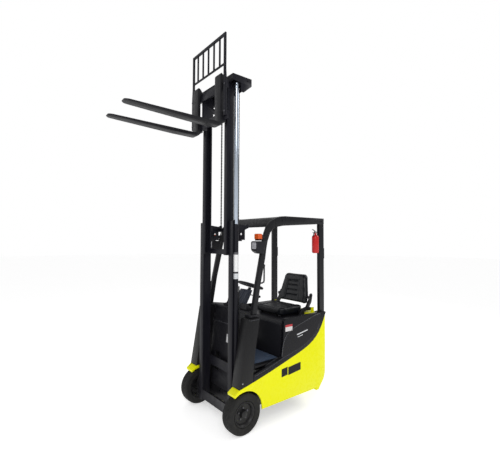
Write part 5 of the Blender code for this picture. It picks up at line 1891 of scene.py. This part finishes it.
# ---------------------------------------------------------------- controls
@dataclass
class Controls:
    """Steering wheel, column, levers, pedals and display."""

    tube: float = 0.0115

    def build(self) -> None:
        """Build every control."""
        soften("direction_lever", PLASTIC, 0.0008, 1, 50.0)
        soften("control_levers", PLASTIC, 0.0015, 2, 50.0)
        soften("instrument_display", PLASTIC, 0.003)
        soften("pedals", HOSE, 0.0015)
        self.column()
        self.steering()
        self.boots()
        self.screen()

    def column(self) -> None:
        """Column cover: a leaning loft, r = r0(t) (1 + 0.035 cos(16 t)), and its shaft."""
        node = "steering_column"
        t = np.linspace(0.0, 2 * math.pi, 192, endpoint=False)[None, :]
        s = np.linspace(0.0, 1.0, 25)[:, None]
        wide = 0.0685 - 0.006 * s
        deep = 0.070 - 0.022 * s
        power = (np.abs(np.cos(t)) ** 4 + np.abs(np.sin(t)) ** 4) ** -0.25
        fold = 1.0 + 0.035 * np.cos(16 * t) * np.sin(math.pi * np.clip(s * 1.02, 0.0, 1.0)) ** 0.3
        x = wide * power * fold * np.cos(t)
        lean = 0.247 + AXLE + 0.122 * s
        y = lean + deep * power * fold * np.sin(t)
        z = 1.0836 + 0.180 * s - 0.20 * (y - lean) * s
        body = np.stack((x, y, z), -1)
        fit(grid("column_cover", capped(body, body.mean(1)), False, True, 60.0), node, COLUMN)
        axis = Vector((0.0, math.sin(math.radians(20)), math.cos(math.radians(20))))
        hub = Vector((0.0, 0.425 + AXLE, 1.305))
        shaft = lathe("column_shaft",
                      [(0.0, -0.090), (0.026, -0.090), (0.026, -0.050), (0.018, -0.046),
                                       (0.018, -0.0265), (0.0, -0.0265)], hub, axis, 28, False)
        join_to(shaft, node, PLASTIC)

    def steering(self) -> None:
        """Steering wheel: rim with finger waves, three flat spokes and a hub."""
        node = "steering_wheel"
        joint = next(j for j in FRAME["record"]["behaviour"]["joints"]
                     if j["child"] == "steering_wheel")
        centre = np.array(joint["pos_m"])
        axis = Vector(joint["axis"]).normalized()
        side = Vector((1.0, 0.0, 0.0))
        up = np.array(axis.cross(side))
        side_np, axis_np = np.array(side), np.array(axis)
        radius = 0.1365
        t = np.linspace(0.0, 2 * math.pi, 96, endpoint=False)[:, None]
        v = np.linspace(0.0, 2 * math.pi, 14, endpoint=False)[None]
        thick = self.tube * (1.0 - 0.06 * np.cos(24 * t) * np.clip(-np.cos(v - math.pi / 2), 0, 1))
        out = radius + thick * np.cos(v)
        points = centre + out[...,
                              None] * (np.cos(t)[..., None] * side_np + np.sin(t)[..., None] * up)
        points = points + (thick * np.sin(v))[..., None] * axis_np
        fit(grid("wheel_rim", points, True, True), node, PLASTIC)
        hub = lathe("wheel_hub",
                    [(0.0, 0.014), (0.018, 0.013), (0.028, 0.008), (0.033, -0.002), (0.030, -0.020),
                                  (0.0, -0.024)], centre, axis, 40, False)
        join_to(hub, node, PLASTIC)
        for number, turn in enumerate((90.0, 210.0, 330.0)):
            a = math.radians(turn)
            reach = math.cos(a) * side_np + math.sin(a) * up
            distance = np.linspace(0.020, radius - 0.004, 16)
            sag = -0.008 * np.sin(math.pi * (distance - 0.020) / (radius - 0.024))
            path = centre + distance[:, None] * reach + sag[:, None] * axis_np
            across = np.cross(axis_np, reach)
            width = 0.013 - 0.004 * (distance / radius)
            t8 = np.linspace(0.0, 2 * math.pi, 10, endpoint=False)
            section = path[:, None] + (width[:, None] * np.cos(t8))[..., None] * across
            section = section + (0.0048 * np.sin(t8))[None, :, None] * axis_np
            spoke = grid(f"wheel_spoke_{number}", capped(section, path), False, True)
            join_to(spoke, node, PLASTIC)

    def boots(self) -> None:
        """Ribbed rubber boots at the feet of the three hydraulic levers."""
        low, _ = box("control_levers")
        for number, x in enumerate((-0.180, -0.150, -0.120)):
            profile = [(0.0, 0.0)]
            for ring in range(4):
                r = 0.016 - 0.0028 * ring
                z = 0.005 * ring
                profile += [(r, z), (r - 0.0030, z + 0.0025)]
            profile += [(0.0055, 0.022), (0.0, 0.022)]
            boot = lathe(f"lever_boot_{number}", profile, (x, low.y + 0.036, low.z + 0.0218),
                         (0, 0.26, 0.97), 24, False)
            join_to(boot, "control_levers", HOSE)

    def screen(self) -> None:
        """Glass of the display on its slanted face."""
        low, high = box("instrument_display")
        z0, z1 = low.z + 0.028, high.z - 0.006
        y0, y1 = high.y - 0.018, low.y + 0.014
        slope = Vector((0.0, y1 - y0, z1 - z0)).normalized()
        out = Vector((0.0, slope.z, -slope.y))
        if out.y < 0:
            out = -out
        lift = out * 0.0016
        outline = [(y0, z0), (y1, z1), (y1 + lift.y, z1 + lift.z), (y0 + lift.y, z0 + lift.z)]
        glass = prism("display_glass", outline, (low.x + 0.012, high.x - 0.012), Plane.SIDE, 0.0004)
        join_to(glass, "instrument_display", SCREEN)


# ---------------------------------------------------------------- studio
@dataclass
class Studio:
    """Pale floor, soft light and the camera."""

    camera_place: tuple[float, float, float] = (3.0493, -2.0543, 1.8135)
    yaw: float = 51.5855
    pitch: float = -2.4618
    roll: float = 0.2184
    lens: float = 24.841
    lights: list[tuple[str, tuple[float, float, float], float,
                       float]] = field(default_factory=lambda: [
        ("key", (4.4, -3.0, 4.2), 3.0, 130.0),
        ("fill", (-4.5, -3.0, 3.4), 3.5, 45.0),
        ("rim", (1.5, 5.0, 4.6), 3.0, 90.0),
    ])

    def build(self) -> None:
        """Build the floor, the world, the lights and the camera."""
        self.floor()
        self.world()
        for name, place, size, power in self.lights:
            self.light(name, place, size, power)
        self.camera()

    def floor(self) -> None:
        """Wide pale disc just under the tyres, faintly uneven in colour and glowing a little."""
        r = np.array((0.0, 3.0, 12.0, 40.0))
        t = np.linspace(0.0, 2 * math.pi, 48, endpoint=False)
        points = np.stack((r[None] * np.cos(t)[:, None], r[None] * np.sin(t)[:, None],
                           np.full((48, 4), -0.0004)), -1)
        obj = grid("studio_floor", points, True, False)
        finish = Finish("floor_paper", (0.86, 0.86, 0.86), 0.65, mottle=0.02, dust=0.0,
                        depth=0.00002)
        WARDROBE.wear(obj, finish)
        shader = next(n for n in obj.data.materials[0].node_tree.nodes
                      if n.type == "BSDF_PRINCIPLED")
        shader.inputs["Emission Color"].default_value = (1.0, 1.0, 1.0, 1.0)
        shader.inputs["Emission Strength"].default_value = 0.50

    def world(self) -> None:
        """White surroundings, which light the truck at about half of what the camera sees."""
        world = bpy.data.worlds.new("studio")
        world.use_nodes = True
        shade = world.node_tree.nodes["Background"]
        shade.inputs["Color"].default_value = (1.0, 1.0, 1.0, 1.0)
        path = world.node_tree.nodes.new("ShaderNodeLightPath")
        share = world.node_tree.nodes.new("ShaderNodeMath")
        share.operation = "MULTIPLY_ADD"
        share.inputs[1].default_value = 0.45
        share.inputs[2].default_value = 0.55
        world.node_tree.links.new(path.outputs["Is Camera Ray"], share.inputs[0])
        world.node_tree.links.new(share.outputs["Value"], shade.inputs["Strength"])
        bpy.context.scene.world = world
        bpy.context.scene.view_settings.view_transform = "Standard"

    def light(self, name: str, place: tuple[float, float, float], size: float,
              power: float) -> None:
        """Square soft light aimed at the truck's middle.

        Args:
            name: Name of the light.
            place: Where the light stands.
            size: Side of the square.
            power: Power in watts.
        """
        data = bpy.data.lights.new(name, "AREA")
        data.size = size
        data.energy = power
        obj = bpy.data.objects.new(name, data)
        obj.location = place
        aim = Vector((0.0, 0.0, 1.4)) - Vector(place)
        obj.rotation_euler = aim.to_track_quat("-Z", "Y").to_euler()
        bpy.context.scene.collection.objects.link(obj)

    def camera(self) -> None:
        """Camera from its place, yaw, pitch and roll."""
        yaw, pitch, roll = (math.radians(a) for a in (self.yaw, self.pitch, self.roll))
        ahead = Vector((-math.sin(yaw) * math.cos(pitch), math.cos(yaw) * math.cos(pitch),
                        -math.sin(pitch)))
        right = Vector((math.cos(yaw), math.sin(yaw), 0.0))
        up = right.cross(ahead)
        right_rolled = math.cos(roll) * right + math.sin(roll) * up
        up_rolled = -math.sin(roll) * right + math.cos(roll) * up
        turn = Matrix((right_rolled, up_rolled, -ahead)).transposed()
        data = bpy.data.cameras.new("camera")
        data.lens = self.lens
        data.sensor_width = 36.0
        camera = bpy.data.objects.new("camera", data)
        camera.matrix_world = Matrix.Translation(self.camera_place) @ turn.to_4x4()
        bpy.context.scene.collection.objects.link(camera)
        bpy.context.scene.camera = camera


def main() -> None:
    """Build every sub-assembly in order."""
    logging.basicConfig(level=logging.INFO, format="%(name)s: %(message)s")
    assemblies: Iterable[Any] = (Studio(), Body(), Guard(), Running(), Mast(), Controls(), Seat())
    for assembly in assemblies:
        assembly.build()
        LOG.info("%s done", type(assembly).__name__)


if __name__ == "__main__":
    main()
